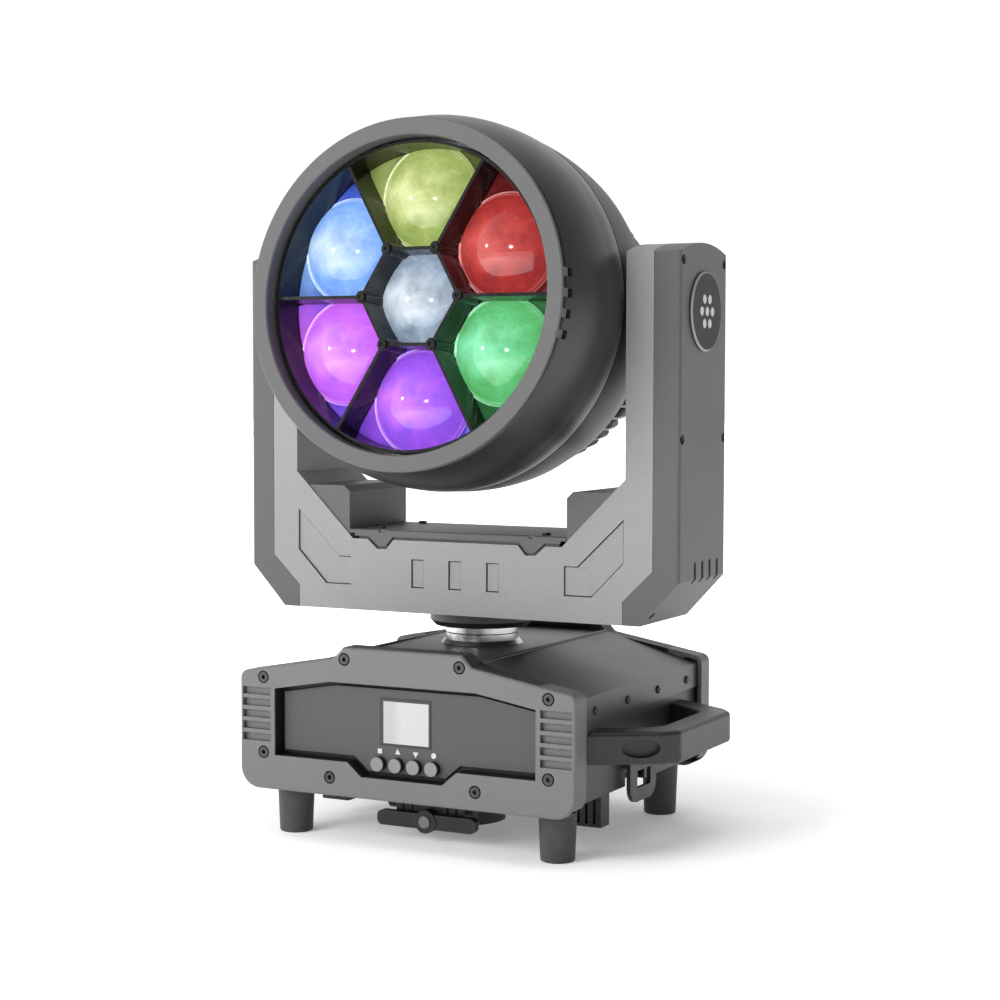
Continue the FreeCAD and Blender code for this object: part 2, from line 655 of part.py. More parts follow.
def hook():
    """The front hook, folded flat under the base: a C for a 50 mm tube, hinged at its root."""
    z0 = HOOK_PIN_Z - 16.0
    z1 = z0 + HOOK_THICKNESS
    root = -HOOK_PIN_Y
    mouth_y = root + HOOK_REACH
    shape = box(-HOOK_HALF_WIDTH, HOOK_HALF_WIDTH, root - 5, root + 28, z0, z1)
    shape = shape.fuse(rod_z(0, mouth_y, 34.0, z0, z1))
    shape = shape.cut(rod_z(0, mouth_y, TUBE_R, z0 - 1, z1 + 1))
    shape = shape.cut(box(-10, 60, mouth_y + 8, mouth_y + 60, z0 - 1, z1 + 1))
    shape = shape.cut(rod_x(root, HOOK_PIN_Z, HOOK_PIN_R + RUNNING_GAP, -40, 40))
    shape = shape.cut(rod_y(0, WING_Z, 5.0 + RUNNING_GAP, root - 10, mouth_y))
    for x in (-21, -14, 14, 21):
        shape = shape.cut(box(x - 1.2, x + 1.2, root - 6, root - 3.6, z0 - 1, z1 + 1))
    return shape.removeSplitter()


def wing_bolt():
    """The front hook's clamping bolt, with its T-shaped wing in front of the hook."""
    face = -HOOK_PIN_Y - 5.2
    shape = rod_y(0, WING_Z, 5.0, face, face + 24)
    shape = shape.fuse(rod_y(0, WING_Z, WING_BOSS_R, face - 8, face))
    wing = box(-WING_HALF_SPAN, WING_HALF_SPAN, face - 7, face - 1,
               WING_Z - WING_HALF_THICKNESS, WING_Z + WING_HALF_THICKNESS)
    wing = round_edges(wing, 4.0, lambda edge: runs_along(edge, Y_AXIS, 6.0))
    shape = shape.fuse(wing)
    return shape.fuse(rod_y(0, WING_Z, 4.2, face - 9, face - 8)).removeSplitter()


# ==== Yoke =================================================================================
def arched(shape):
    """Trim an arm's top to its front-to-back arch."""
    dome = rod_x(0, ARM_TOP - ARM_TOP_R, ARM_TOP_R, -200, 200)
    below = box(-200, 200, -60, 60, 100, ARM_TOP - ARM_TOP_R)
    return shape.common(dome.fuse(below))


def chamfer_x(z):
    """The x of the casing's inner chamfer at this height; it runs at 45 degrees."""
    return ARM_INNER_X - (ARM_CHAMFER_Z - z)


def casing_outline():
    right = [(chamfer_x(CROSSBAR_TOP), CROSSBAR_TOP), (ARM_INNER_X, ARM_CHAMFER_Z), (ARM_INNER_X, ARM_TOP + 5),
             (SEAM_X, ARM_TOP + 5), (SEAM_X, SEAM_CORNER_Z), SEAM_FOOT, (SEAM_FOOT[0], YOKE_BOTTOM)]
    return both_halves(right)


def casing_hollow():
    inner = ARM_INNER_X + YOKE_WALL
    slant = YOKE_WALL * math.sqrt(2)
    right = [(chamfer_x(CROSSBAR_TOP) + slant, CROSSBAR_TOP), (inner, ARM_CHAMFER_Z + YOKE_WALL - slant),
             (inner, ARM_TOP), (SEAM_X + 10, ARM_TOP), (SEAM_X + 10, YOKE_BOTTOM + YOKE_WALL)]
    depth = YOKE_HALF_DEPTH - YOKE_WALL
    shape = plate_y(both_halves(right), -depth, depth)
    crown = rod_x(0, ARM_TOP - ARM_TOP_R, ARM_TOP_R - YOKE_WALL, -200, 200)
    return shape.common(crown.fuse(box(-200, 200, -60, 60, 100, ARM_TOP - ARM_TOP_R)))


def casing_relief():
    """The sunk shapes on the crossbar's face: two corner recesses and three slots, each in a deeper outline."""
    corner = [(129.6, 226.0), (95.0, 192.6), (85.0, 192.6), (85.0, 171.9), (106.0, 171.9), (129.6, 196.0)]
    outlines = [corner, [(-x, z) for x, z in corner]]
    for x in (-30.0, 0.0, 30.0):
        outlines.append([(x - 5.1, 171.8), (x + 5.1, 171.8), (x + 5.1, 192.3), (x - 5.1, 192.3)])
    face = -YOKE_HALF_DEPTH
    sunk = []
    for outline in outlines:
        sunk.append(plate_y(outline, face - 1, face + 1.2))
        rim = plate_y(outline, face + 1.2, face + 2.4)
        sunk.append(rim.cut(plate_y(offset_outline(outline, -0.8), face, face + 3)))
    return sunk + [half_turn(shape) for shape in sunk]


def notch_outline(top):
    """The right-hand notch in the crossbar's upper edge, its slanted sides drawn up to this height."""
    left, right = NOTCH_FLOOR_X
    lean_left, lean_right = (slope * (top - NOTCH_BOTTOM) for slope in NOTCH_SLOPES)
    return [(left - lean_left, top), (left, NOTCH_BOTTOM), (right, NOTCH_BOTTOM), (right + lean_right, top)]


def all_four(shape):
    """Repeat a piece of the right front quarter in the other three quarters."""
    front = [shape, mirrored(shape)]
    return front + [half_turn(piece) for piece in front]


def casing_notches():
    outline = notch_outline(CROSSBAR_TOP + 1)
    return all_four(plate_y(outline, -YOKE_HALF_DEPTH - 1, -YOKE_HALF_DEPTH + YOKE_WALL + 0.1))


def yoke_casing():
    shape = plate_y(casing_outline(), -YOKE_HALF_DEPTH, YOKE_HALF_DEPTH)
    shape = arched(shape).cut(casing_hollow())
    for x in (-LID_POST_X, LID_POST_X):
        for y in (-LID_POST_Y, LID_POST_Y):
            shape = shape.fuse(rod_z(x, y, 4.5, YOKE_BOTTOM, LID_BOTTOM))
    for y, z in ARM_SCREWS:
        boss = rod_x(y, z, 4.5, ARM_INNER_X + 1, SEAM_X)
        shape = shape.fuse(boss).fuse(mirrored(boss))
    cuts = casing_relief() + casing_notches()
    cuts.append(rod_z(0, 0, COLLAR_R, YOKE_BOTTOM - 1, YOKE_BOTTOM + YOKE_WALL + 1))
    cuts.append(rod_x(0, TILT_Z, BEARING_R, -SEAM_X, SEAM_X))
    for y, z in ARM_SCREWS:
        cuts.append(rod_x(y, z, 1.6, -SEAM_X - 1, -SEAM_X + 12))
        cuts.append(rod_x(y, z, 1.6, SEAM_X - 12, SEAM_X + 1))
    for x in (-LID_POST_X, LID_POST_X):
        for y in (-LID_POST_Y, LID_POST_Y):
            cuts.append(rod_z(x, y, 1.6, LID_BOTTOM - 12, LID_BOTTOM + 1))
    for x0, x1 in ((90.5, 121.0), (-121.0, -90.5)):
        cuts.append(box(x0, x1, -24, 24, 200, 245))
    shape = shape.cut(Part.makeCompound(cuts)).removeSplitter()
    return shape.common(box(-SEAM_X, SEAM_X, -YOKE_HALF_DEPTH, YOKE_HALF_DEPTH, YOKE_BOTTOM, ARM_TOP + 5))


def yoke_top_cover():
    """The crossbar's lid: outer skirts with tabs in the notches, inner skirts and corner clips."""
    skirt_y = YOKE_HALF_DEPTH - YOKE_WALL - 0.2
    outer_y = YOKE_HALF_DEPTH - 0.5
    shape = box(-LID_HALF_WIDTH, LID_HALF_WIDTH, -YOKE_HALF_DEPTH + 0.5, YOKE_HALF_DEPTH - 0.5, LID_BOTTOM, LID_TOP)
    shape = round_edges(shape, 1.2, lambda edge: edge.BoundBox.ZMin > LID_TOP - 0.01 and edge.BoundBox.YLength < 0.01)
    for y0, y1 in ((-skirt_y, -skirt_y + 2), (skirt_y - 2, skirt_y)):
        shape = shape.fuse(box(-80, 80, y0, y1, 196, LID_BOTTOM))
    for y0, y1 in ((-outer_y, -skirt_y), (skirt_y, outer_y)):
        shape = shape.fuse(box(-82, 82, y0, y1, CROSSBAR_TOP + LID_GROOVE, LID_BOTTOM))
    tab = offset_outline(notch_outline(LID_BOTTOM + LID_GROOVE + 0.5), -LID_GROOVE)
    for piece in all_four(plate_y(tab, -outer_y, -skirt_y)):
        shape = shape.fuse(piece)
    for clip in all_four(box(58, 62, -outer_y - 1, -outer_y + 1.2, LID_TOP - 2.2, LID_TOP + 1)):
        shape = shape.cut(clip)
    for x in (-LID_POST_X, LID_POST_X):
        for y in (-LID_POST_Y, LID_POST_Y):
            shape = shape.cut(rod_z(x, y, 1.6, LID_BOTTOM - 1, LID_TOP + 1))
    return shape.removeSplitter()


def motor_housing():
    """The three-sided cover on the right-hand inner chamfer, over the tilt motor."""
    depth = YOKE_HALF_DEPTH - 1.0
    corner = 4.5
    lift = ARM_CHAMFER_Z - ARM_INNER_X
    low_x = LID_HALF_WIDTH + 0.2
    outline = [(low_x, low_x + lift), (low_x, HOUSING_TOP - corner), (low_x + corner, HOUSING_TOP),
               (HOUSING_TOP - lift, HOUSING_TOP)]
    inside = [(low_x + 2.4, low_x + lift), (low_x + 2.4, HOUSING_TOP - corner - 1), (low_x + corner + 1, HOUSING_TOP - 2.4),
              (HOUSING_TOP - lift + 9, HOUSING_TOP - 2.4), (HOUSING_TOP - lift + 9, low_x + lift)]
    shape = plate_y(outline, -depth, depth)
    return shape.cut(plate_y(inside, -depth + 2.4, depth - 2.4))


def arm_cover():
    """The right arm's outer shell, with its foot chamfer, screw bosses and vents."""
    outline = [(SEAM_X + SEAM_GAP, ARM_TOP + 5), (ARM_OUTER_X, ARM_TOP + 5), (ARM_OUTER_X, ARM_CORNER[1]),
               (ARM_CORNER[0], YOKE_BOTTOM), (SEAM_FOOT[0] + SEAM_GAP, YOKE_BOTTOM),
               (SEAM_FOOT[0] + SEAM_GAP, SEAM_FOOT[1] - 0.1), (SEAM_X + SEAM_GAP, SEAM_CORNER_Z - 0.1)]
    wall = 2.6
    hollow = [(SEAM_X - 40, ARM_TOP), (ARM_OUTER_X - wall, ARM_TOP), (ARM_OUTER_X - wall, ARM_CORNER[1] + 1),
              (ARM_CORNER[0] - 1, YOKE_BOTTOM + wall), (SEAM_X - 40, YOKE_BOTTOM + wall)]
    shape = plate_y(outline, -YOKE_HALF_DEPTH, YOKE_HALF_DEPTH)
    shape = round_edges(shape, 2.5, lambda edge: edge.BoundBox.XMin > ARM_OUTER_X - 0.01
                        and edge.BoundBox.YLength < 0.01)
    crown = rod_x(0, ARM_TOP - ARM_TOP_R, ARM_TOP_R - wall, 100, 200)
    room = plate_y(hollow, -YOKE_HALF_DEPTH + wall, YOKE_HALF_DEPTH - wall)
    room = room.common(crown.fuse(box(100, 200, -60, 60, 100, ARM_TOP - ARM_TOP_R)))
    shape = arched(shape).cut(room)
    for y, z in ARM_SCREWS:
        shape = shape.fuse(rod_x(y, z, 4.5, SEAM_X + SEAM_GAP, ARM_OUTER_X - 1))
    cuts = []
    for y, z in ARM_SCREWS:
        cuts.append(rod_x(y, z, 1.7, SEAM_X - 1, ARM_OUTER_X + 1))
        cuts.append(rod_x(y, z, 3.4, ARM_OUTER_X - 3.5, ARM_OUTER_X + 1))
    for y in ARM_VENT_Y:
        slot = box(150, 180, y - 1.9, y + 1.9, 182, 195)
        cuts.append(slot.fuse(rod_x(y, 195, 1.9, 150, 180)))
    cuts.append(Part.makeCylinder(3.0, 20, Vector(148 - 7.3, -36, 161 + 6.8), Vector(0.734, 0, -0.679)))
    shape = shape.common(box(0, ARM_OUTER_X, -YOKE_HALF_DEPTH, YOKE_HALF_DEPTH, YOKE_BOTTOM, ARM_TOP))
    return shape.cut(Part.makeCompound(cuts)).removeSplitter()


def arm_badge():
    """A plain round badge over the tilt axis, its rim bevelled."""
    face = ARM_OUTER_X + BADGE_THICKNESS
    shape = rod_x(0, TILT_Z, BADGE_R, ARM_OUTER_X, face)
    shape = shape.makeChamfer(1.2, [e for e in shape.Edges if e.BoundBox.XMin > face - 0.01])
    return shape


def arm_screws():
    """The arm covers' screws, sunk in their bosses, and the four lid screws."""
    right = []
    for y, z in ARM_SCREWS:
        head = rod_x(y, z, 3.1, ARM_OUTER_X - 3.5, ARM_OUTER_X - 1.2)
        head = head.cut(rod_x(y, z, 1.4, ARM_OUTER_X - 2.4, ARM_OUTER_X))
        right.append(head.fuse(rod_x(y, z, 1.5, SEAM_X - 9, ARM_OUTER_X - 3.5)))
    lid = []
    for x in (-LID_POST_X, LID_POST_X):
        for y in (-LID_POST_Y, LID_POST_Y):
            head = rod_z(x, y, 3.0, LID_TOP, LID_TOP + 1.8)
            head = head.cut(rod_z(x, y, 1.3, LID_TOP + 0.7, LID_TOP + 2))
            lid.append(head.fuse(rod_z(x, y, 1.5, LID_BOTTOM - 9, LID_TOP)))
    return right + [mirrored(screw) for screw in right] + lid


def pan_flange():
    bottom = UPPER_COLLAR[1]
    shape = rod_z(0, 0, FLANGE_R, bottom, YOKE_BOTTOM)
    shape = shape.makeChamfer(4.0, [e for e in shape.Edges if e.BoundBox.ZMax < bottom + 0.01])
    shape = shape.cut(rod_z(0, 0, COLLAR_R, bottom + 2, YOKE_BOTTOM + 1))
    return shape.cut(rod_z(0, 0, SHAFT_R + 1, bottom - 1, YOKE_BOTTOM))


def yoke_bearings():
    """The pan bearing in the flange, and the two tilt bearings in the arms' inner walls."""
    pan = tube_z(COLLAR_R, SHAFT_R + RUNNING_GAP, UPPER_COLLAR[1] + 2, YOKE_BOTTOM + YOKE_WALL)
    tilt = rod_x(0, TILT_Z, BEARING_R, ARM_INNER_X, ARM_INNER_X + 7)
    tilt = tilt.cut(rod_x(0, TILT_Z, AXLE_R + RUNNING_GAP, ARM_INNER_X - 1, ARM_INNER_X + 8))
    return [pan, tilt, mirrored(tilt)]


def to_tilt_drive(shape):
    """Move a drive piece from the Z axis to the tilt axis, its top towards +X, its far side down."""
    piece = shape.copy()
    piece.rotate(Vector(0, 0, 0), Y_AXIS, 90)
    piece.translate(Vector(0, 0, TILT_Z))
    return piece


def tilt_distance():
    return TILT_Z - TILT_MOTOR_Z


def drive_motors():
    pan = motor(YOKE_BOTTOM + YOKE_WALL, 190.0)
    pan.translate(Vector(PAN_MOTOR_X, 0, 0))
    tilt = motor(93.0, 125.0)
    tilt.translate(Vector(tilt_distance(), 0, 0))
    return [pan, to_tilt_drive(tilt)]


def drive_belts():
    pan_z0, pan_z1 = PAN_BELT_PLANE
    tilt_x0, tilt_x1 = TILT_BELT_PLANE
    return [belt(PAN_MOTOR_X, pan_z0, pan_z1), to_tilt_drive(belt(tilt_distance(), tilt_x0, tilt_x1))]


def pan_motor_pulley():
    shape = motor_pulley(*PAN_BELT_PLANE, shaft_start=166.0)
    shape.translate(Vector(PAN_MOTOR_X, 0, 0))
    return shape


def tilt_motor_pulley():
    shape = motor_pulley(*TILT_BELT_PLANE, shaft_start=102.0)
    shape.translate(Vector(tilt_distance(), 0, 0))
    return to_tilt_drive(shape)


# ==== Head =================================================================================
def front_ring():
    """The flat front ring, its spigot into the barrel, and the tabs across the shadow groove."""
    shape = turned((RING_BACK, RING_R), (RING_FRONT - 0.8, RING_R), (RING_FRONT, RING_R - 0.8),
                   (RING_FRONT, RING_INNER_R + 0.8), (RING_FRONT - 0.8, RING_INNER_R),
                   (SPIGOT_BACK, RING_INNER_R), (ROD_RING[1] + 0.6, 111.0), (ROD_RING[1] + 0.6, 115.6),
                   (RING_BACK, 115.6))
    back, outer_r, width = TAB
    return shape.multiFuse(tab_blocks(114.5, outer_r, back, RING_BACK, width)).removeSplitter()


def tab_blocks(inner_r, outer_r, s0, s1, width):
    """A block at each tab: four on each side of the head, from s0 to s1."""
    blocks = []
    for step in (-2, -1, 0, 1):
        block = box(inner_r, outer_r, -s1, -s0, TILT_Z - width / 2, TILT_Z + width / 2)
        block.rotate(Vector(0, 0, TILT_Z), Y_AXIS, -step * TAB_PITCH)
        blocks.extend([block, mirrored(block)])
    return blocks


def barrel_shell():
    """The bulging front barrel, its front lip notched for the ring's tabs."""
    shape = turned((BARREL_FRONT, 117.4), (BARREL_FRONT - 1.0, 118.8), ((90.0, 125.6), (62.0, 129.0)),
                   ((50.0, 129.2), (BARREL_BACK, 128.2)), (BARREL_BACK, 121.3), (60.0, 121.3), (98.0, 116.0),
                   (BARREL_FRONT, 116.0))
    back, width = TAB_NOTCH
    return shape.cut(Part.makeCompound(tab_blocks(115.0, 130.0, back, BARREL_FRONT + 1, width)))


def rear_shell():
    shape = turned((BARREL_BACK - 0.5, 128.4), ((18.0, 127.6), (-5.0, 124.4)), (-6.0, 123.0), (-25.0, 118.6),
                   (-25.0, 113.4), (-6.0, 116.0), (38.0, 118.0), (49.0, 118.0), (49.0, 121.2),
                   (BARREL_BACK - 0.5, 121.2))
    return shape.cut(rod_x(0, TILT_Z, AXLE_R + 0.4, -140, 140))


def heatsink():
    """A base disc with radial fins; the fins leave a round bay for the fan."""
    disc = turned((FIN_FRONT, 0), (FIN_FRONT, 113.0), (-33.0, 113.0), (-33.0, 0))
    outline = [(FIN_FRONT - 1, 40.0), (FIN_FRONT - 1, 113.6), (-56.0, 109.8), (-76.0, 105.2), (-83.0, 102.2),
               (-88.5, 97.4), (-91.3, 92.0), (FIN_BACK, 86.0), (FIN_BACK, 64.0), (-50.0, 64.0), (-50.0, 40.0)]
    fins = []
    for number in range(FIN_COUNT):
        corners = wire_of([Vector(-FIN_THICKNESS / 2, -s, TILT_Z + r) for s, r in outline])
        fin = Part.Face(corners).extrude(Vector(FIN_THICKNESS, 0, 0))
        fin.rotate(Vector(0, 0, TILT_Z), Y_AXIS, 360.0 * number / FIN_COUNT)
        fins.append(fin)
    return disc.multiFuse(fins).removeSplitter()


def rear_cover():
    """The rear plate with its ring grille, the fan shroud and the fan's fixed spindle."""
    front, back = FIN_BACK - 0.2, FIN_BACK - 3.5
    shape = turned((front, 58.0), (front, 95.0), (back + 1.5, 95.0), (back, 93.0), (back, 58.0))
    shape = shape.fuse(turned((front, 59.0), (-55.0, 59.0), (-55.0, 62.5), (front, 62.5)))
    for radius in (16.0, 27.0, 38.0, 49.0):
        shape = shape.fuse(turned((front, radius - 1.2), (front, radius + 1.2), (back, radius + 1.2), (back, radius - 1.2)))
    shape = shape.fuse(turned((front, 0), (front, 11.0), (back, 11.0), (back, 0)))
    for number in range(6):
        spoke = box(8.0, 60.0, -front, -back, TILT_Z - 1.5, TILT_Z + 1.5)
        spoke.rotate(Vector(0, 0, TILT_Z), Y_AXIS, 60.0 * number)
        shape = shape.fuse(spoke)
    spindle = rod_y(0, TILT_Z, 3.0, 62.0, -front)
    return shape.fuse(spindle).removeSplitter()


def head_fan():
    """A hub and seven pitched blades on the rear cover's spindle."""
    hub = rod_y(0, TILT_Z, 18.0, 60.0, 88.0).cut(rod_y(0, TILT_Z, 3.0 + RUNNING_GAP, 58.0, 90.0))
    hub = hub.fuse(rod_y(0, TILT_Z, 18.0, 58.5, 60.0))
    blades = []
    for number in range(7):
        blade = box(16.0, 56.5, -1.0, 1.0, -12.0, 12.0)
        blade.rotate(Vector(0, 0, 0), X_AXIS, 52)
        blade.translate(Vector(0, 73.0, TILT_Z))
        blade.rotate(Vector(0, 0, TILT_Z), Y_AXIS, 360.0 * number / 7)
        blades.append(blade)
    shape = hub.multiFuse(blades)
    limit = rod_y(0, TILT_Z, 57.5, 58.0, 89.0)
    bore = rod_y(0, TILT_Z, 3.0 + RUNNING_GAP, 60.0, 90.0)
    return shape.common(limit).cut(bore).removeSplitter()


def head_chassis():
    """The ring inside the rear shell, with a boss each side that carries a tilt axle."""
    shape = turned((-25.2, 98.0), (-25.2, 112.6), (-13.0, 112.6), (-13.0, 98.0))
    for side in (1, -1):
        boss = rod_x(0, TILT_Z, 20.0, 98.0, 112.4)
        arm = box(99.0, 110.0, 0.0, 24.0, TILT_Z - 16, TILT_Z + 16)
        block = boss.fuse(arm)
        shape = shape.fuse(block if side == 1 else mirrored(block))
    shape = shape.cut(rod_x(0, TILT_Z, AXLE_R, -120, 120))
    for angle in GUIDE_ANGLES:
        shape = shape.cut(head_rod(GUIDE_RING_R, angle, GUIDE_R, -20.0, 0.0))
    return shape.removeSplitter()


def tilt_axles():
    right = rod_x(0, TILT_Z, AXLE_R, 98.0, TILT_BELT_PLANE[1] + 2)
    left = mirrored(rod_x(0, TILT_Z, AXLE_R, 98.0, ARM_INNER_X + 10))
    bore = rod_x(0, TILT_Z, AXLE_BORE_R, -180, 180)
    return [right.cut(bore), left.cut(bore)]


def tilt_pulley():
    disc = toothed_disc(LARGE_TEETH, *TILT_BELT_PLANE)
    return to_tilt_drive(disc.cut(rod_z(0, 0, AXLE_R, 130, 160)))


def lens_places():
    """Ring radius and angle of each lens, the centre first and then clockwise from the top."""
    return [(0.0, 0.0)] + [(CELL_RING_R, 90.0 - 60.0 * number) for number in range(6)]


def led_board():
    shape = turned((-25.2, 0), (-25.2, 96.0), (-23.6, 96.0), (-23.6, 0))
    for ring_r, angle in lens_places():
        shape = shape.fuse(head_rod(ring_r, angle, 7.5, -23.6, -22.0))
    return shape.removeSplitter()


def light_rod(ring_r, angle):
    """A clear collimator over one LED, standing on the board on its rim."""
    cone = turned((-23.6, 9.0), (-23.6, 13.0), (-21.0, 13.0), (-18.0, 8.5), (20.0, 14.5), (20.0, 0.0),
                  (-20.0, 0.0), (-20.0, 6.0), (-21.6, 9.0))
    x, z = on_head(ring_r, angle)
    cone.translate(Vector(x, 0, z - TILT_Z))
    return cone


def guide_rods():
    """Three rods for the zoom carriage, with the ring that ties their front ends."""
    s0, s1 = ROD_RING
    rods = [head_rod(GUIDE_RING_R, angle, GUIDE_R, -20.0, s0) for angle in GUIDE_ANGLES]
    ring = turned((s0, 106.3), (s0, 116.5), (s1, 116.5), (s1, 106.3))
    ring = ring.cut(head_rod(GUIDE_RING_R, LEAD_SCREW_ANGLE, LEAD_SCREW_R + RUNNING_GAP, s0 - 1, s1 + 1))
    return ring.multiFuse(rods).removeSplitter()


def zoom_motor():
    x, z = on_head(GUIDE_RING_R, LEAD_SCREW_ANGLE)
    shape = box(-12, 12, -12.0, 12.8, z - 7.5, z + 4.8)
    return shape.cut(rod_y(x, z, LEAD_SCREW_R + RUNNING_GAP, -14, 0))


def lead_screw():
    """The zoom screw; its thread is shown as shallow rings."""
    shape = head_rod(GUIDE_RING_R, LEAD_SCREW_ANGLE, LEAD_SCREW_R, 1.0, ROD_RING[1] - 0.5)
    x, z = on_head(GUIDE_RING_R, LEAD_SCREW_ANGLE)
    rings = []
    for number in range(24):
        start = 16.0 + 2.0 * number
        ring = rod_y(x, z, LEAD_SCREW_R + 0.2, -start - 0.8, -start)
        rings.append(ring.cut(rod_y(x, z, LEAD_SCREW_R - 0.35, -start - 1, -start + 1)))
    return shape.cut(Part.makeCompound(rings))


def hexagon(corner_r, s0, s1):
    points = []
    for number in range(6):
        x, z = on_head(corner_r, 60.0 * number)
        points.append((x, z))
    return plate_y(points, -s1, -s0)


def cell_walls(half_thickness, s0, s1):
    """The hexagon round the centre cell and the six walls that run out from its corners."""
    grow = half_thickness / math.cos(math.radians(30))
    walls = hexagon(CELL_HEX_R + grow, s0, s1).cut(hexagon(CELL_HEX_R - grow, s0 - 1, s1 + 1))
    for number in range(6):
        wall = box(CELL_HEX_R, HOOP_R - 0.5, -s1, -s0, TILT_Z - half_thickness, TILT_Z + half_thickness)
        wall.rotate(Vector(0, 0, TILT_Z), Y_AXIS, 60.0 * number)
        walls = walls.fuse(wall)
    return walls


def cell_frame():
    """The zoom carriage: plate, hoop, cell walls, screw posts and the ears that slide on the rods."""
    s0, s1 = CELL_PLATE
    ear_back = 64.0
    shape = turned((s0, 0), (s0, HOOP_R), (s1, HOOP_R), (s1, 0))
    for ring_r, angle in lens_places():
        shape = shape.cut(head_rod(ring_r, angle, 27.0, s0 - 1, s1 + 1))
    hoop = turned((ear_back, HOOP_R - HOOP_WALL), (ear_back, HOOP_R), (CELL_FRONT, HOOP_R),
                  (CELL_FRONT, HOOP_R - HOOP_WALL))
    shape = shape.fuse(hoop).fuse(cell_walls(CELL_WALL / 2, s1, CELL_FRONT))
    for number in range(6):
        shape = shape.fuse(head_rod(CELL_HEX_R, 60.0 * number, POST_R, s1, CELL_FRONT))
    for angle in GUIDE_ANGLES + (LEAD_SCREW_ANGLE,):
        shape = shape.fuse(head_rod(GUIDE_RING_R, angle, 5.6, ear_back, s0))
    for angle in GUIDE_ANGLES:
        shape = shape.cut(head_rod(GUIDE_RING_R, angle, GUIDE_R + RUNNING_GAP, ear_back - 1, CELL_FRONT))
    shape = shape.cut(head_rod(GUIDE_RING_R, LEAD_SCREW_ANGLE, LEAD_SCREW_R + RUNNING_GAP, ear_back - 1, CELL_FRONT))
    for number in range(6):
        shape = shape.cut(head_rod(CELL_HEX_R, 60.0 * number, 1.3, CELL_FRONT - 12, CELL_FRONT + 1))
    return shape.removeSplitter()


def lens_screws():
    screws = []
    for number in range(6):
        head = head_rod(CELL_HEX_R, 60.0 * number, 3.3, CELL_FRONT, CELL_FRONT + 1.8)
        head = head.cut(head_rod(CELL_HEX_R, 60.0 * number, 1.3, CELL_FRONT + 0.8, CELL_FRONT + 2))
        screws.append(head.fuse(head_rod(CELL_HEX_R, 60.0 * number, 1.25, CELL_FRONT - 10, CELL_FRONT)))
    return screws


def cell_rooms(gap, s0, s1):
    """The seven free spaces between the cell walls, the hoop and the screw posts."""
    rooms = turned((s0, 0), (s0, HOOP_R - HOOP_WALL - gap), (s1, HOOP_R - HOOP_WALL - gap), (s1, 0))
    rooms = rooms.cut(cell_walls(CELL_WALL / 2 + gap, s0 - 1, s1 + 1))
    for number in range(6):
        rooms = rooms.cut(head_rod(CELL_HEX_R, 60.0 * number, POST_R + gap, s0 - 1, s1 + 1))
    return [room.copy() for room in rooms.Solids]


def zoom_lenses():
    """Seven moulded lenses: a flange that fills the cell, and a dome trimmed by the cell's walls."""
    s0, s1 = LENS_FLANGE
    rooms = cell_rooms(0.15, s0, CELL_FRONT)
    lenses = []
    for ring_r, angle in lens_places():
        x, z = on_head(ring_r, angle)
        radius, height = OUTER_LENS if ring_r else CENTRE_LENS
        sphere_r = (radius ** 2 + height ** 2) / (2 * height)
        ball = Part.makeSphere(sphere_r, Vector(x, -(s1 + height - sphere_r), z))
        flange = rod_y(x, z, 2 * radius, -s1, -s0)
        dome = ball.common(rod_y(x, z, radius, -s1 - height - 1, -s1))
        middle = Vector(x, -(s0 + CELL_FRONT) / 2, z)
        room = min(rooms, key=lambda piece: piece.CenterOfMass.distanceToPoint(middle))
        lenses.append(room.common(flange.fuse(dome)).removeSplitter())
    return lenses


# ==== Export ===============================================================================
def save_base():
    save("base_tray", base_tray())
    save("base_top_cover", base_top_cover())
    save("front_bezel", bezel((-34, 34, 64.0, 107.0), (-27, 27, 52.0, 64.0)))
    save("rear_bezel", half_turn(bezel((-86, 86, 62.0, 103.0))))
    save("control_panel", control_panel())
    save("display_window", display_window())
    save("control_boards", *control_boards())
    save("rear_panel", rear_panel())
    save("rear_sockets", *[rear_socket(x) for x in SOCKET_X])
    save("handle_right", handle())
    save("handle_left", mirrored(handle()))
    save("feet", *feet())
    save("bezel_screws", *bezel_screws())
    save("cover_screws", *cover_screws())
    save("safety_eye", safety_eye())
    save("power_supply", power_supply())
    save("pan_shaft", pan_shaft())
    save("pan_pulley", pan_pulley())
    save("lower_collar", lower_collar())
    save("clamp_rail", clamp_rail())
    save("hook_front", hook())
    save("hook_rear", half_turn(hook()))
    save("wing_bolt_front", wing_bolt())
    save("wing_bolt_rear", half_turn(wing_bolt()))
    for number in range(BUTTON_COUNT):
        save("menu_button_" + str(number + 1), menu_button(number))


def save_yoke():
    save("yoke_casing", yoke_casing())
    save("arm_cover_right", arm_cover())
    save("arm_cover_left", mirrored(arm_cover()))
    save("arm_badges", arm_badge(), mirrored(arm_badge()))
    save("arm_screws", *arm_screws())
    save("yoke_top_cover", yoke_top_cover())
    save("motor_housings", motor_housing(), mirrored(motor_housing()))
    save("pan_flange", pan_flange())
    save("upper_collar", tube_z(COLLAR_R, SHAFT_R + RUNNING_GAP, *UPPER_COLLAR))
    save("yoke_bearings", *yoke_bearings())
    save("drive_motors", *drive_motors())
    save("drive_belts", *drive_belts())
    save("pan_motor_pulley", pan_motor_pulley())
    save("tilt_motor_pulley", tilt_motor_pulley())


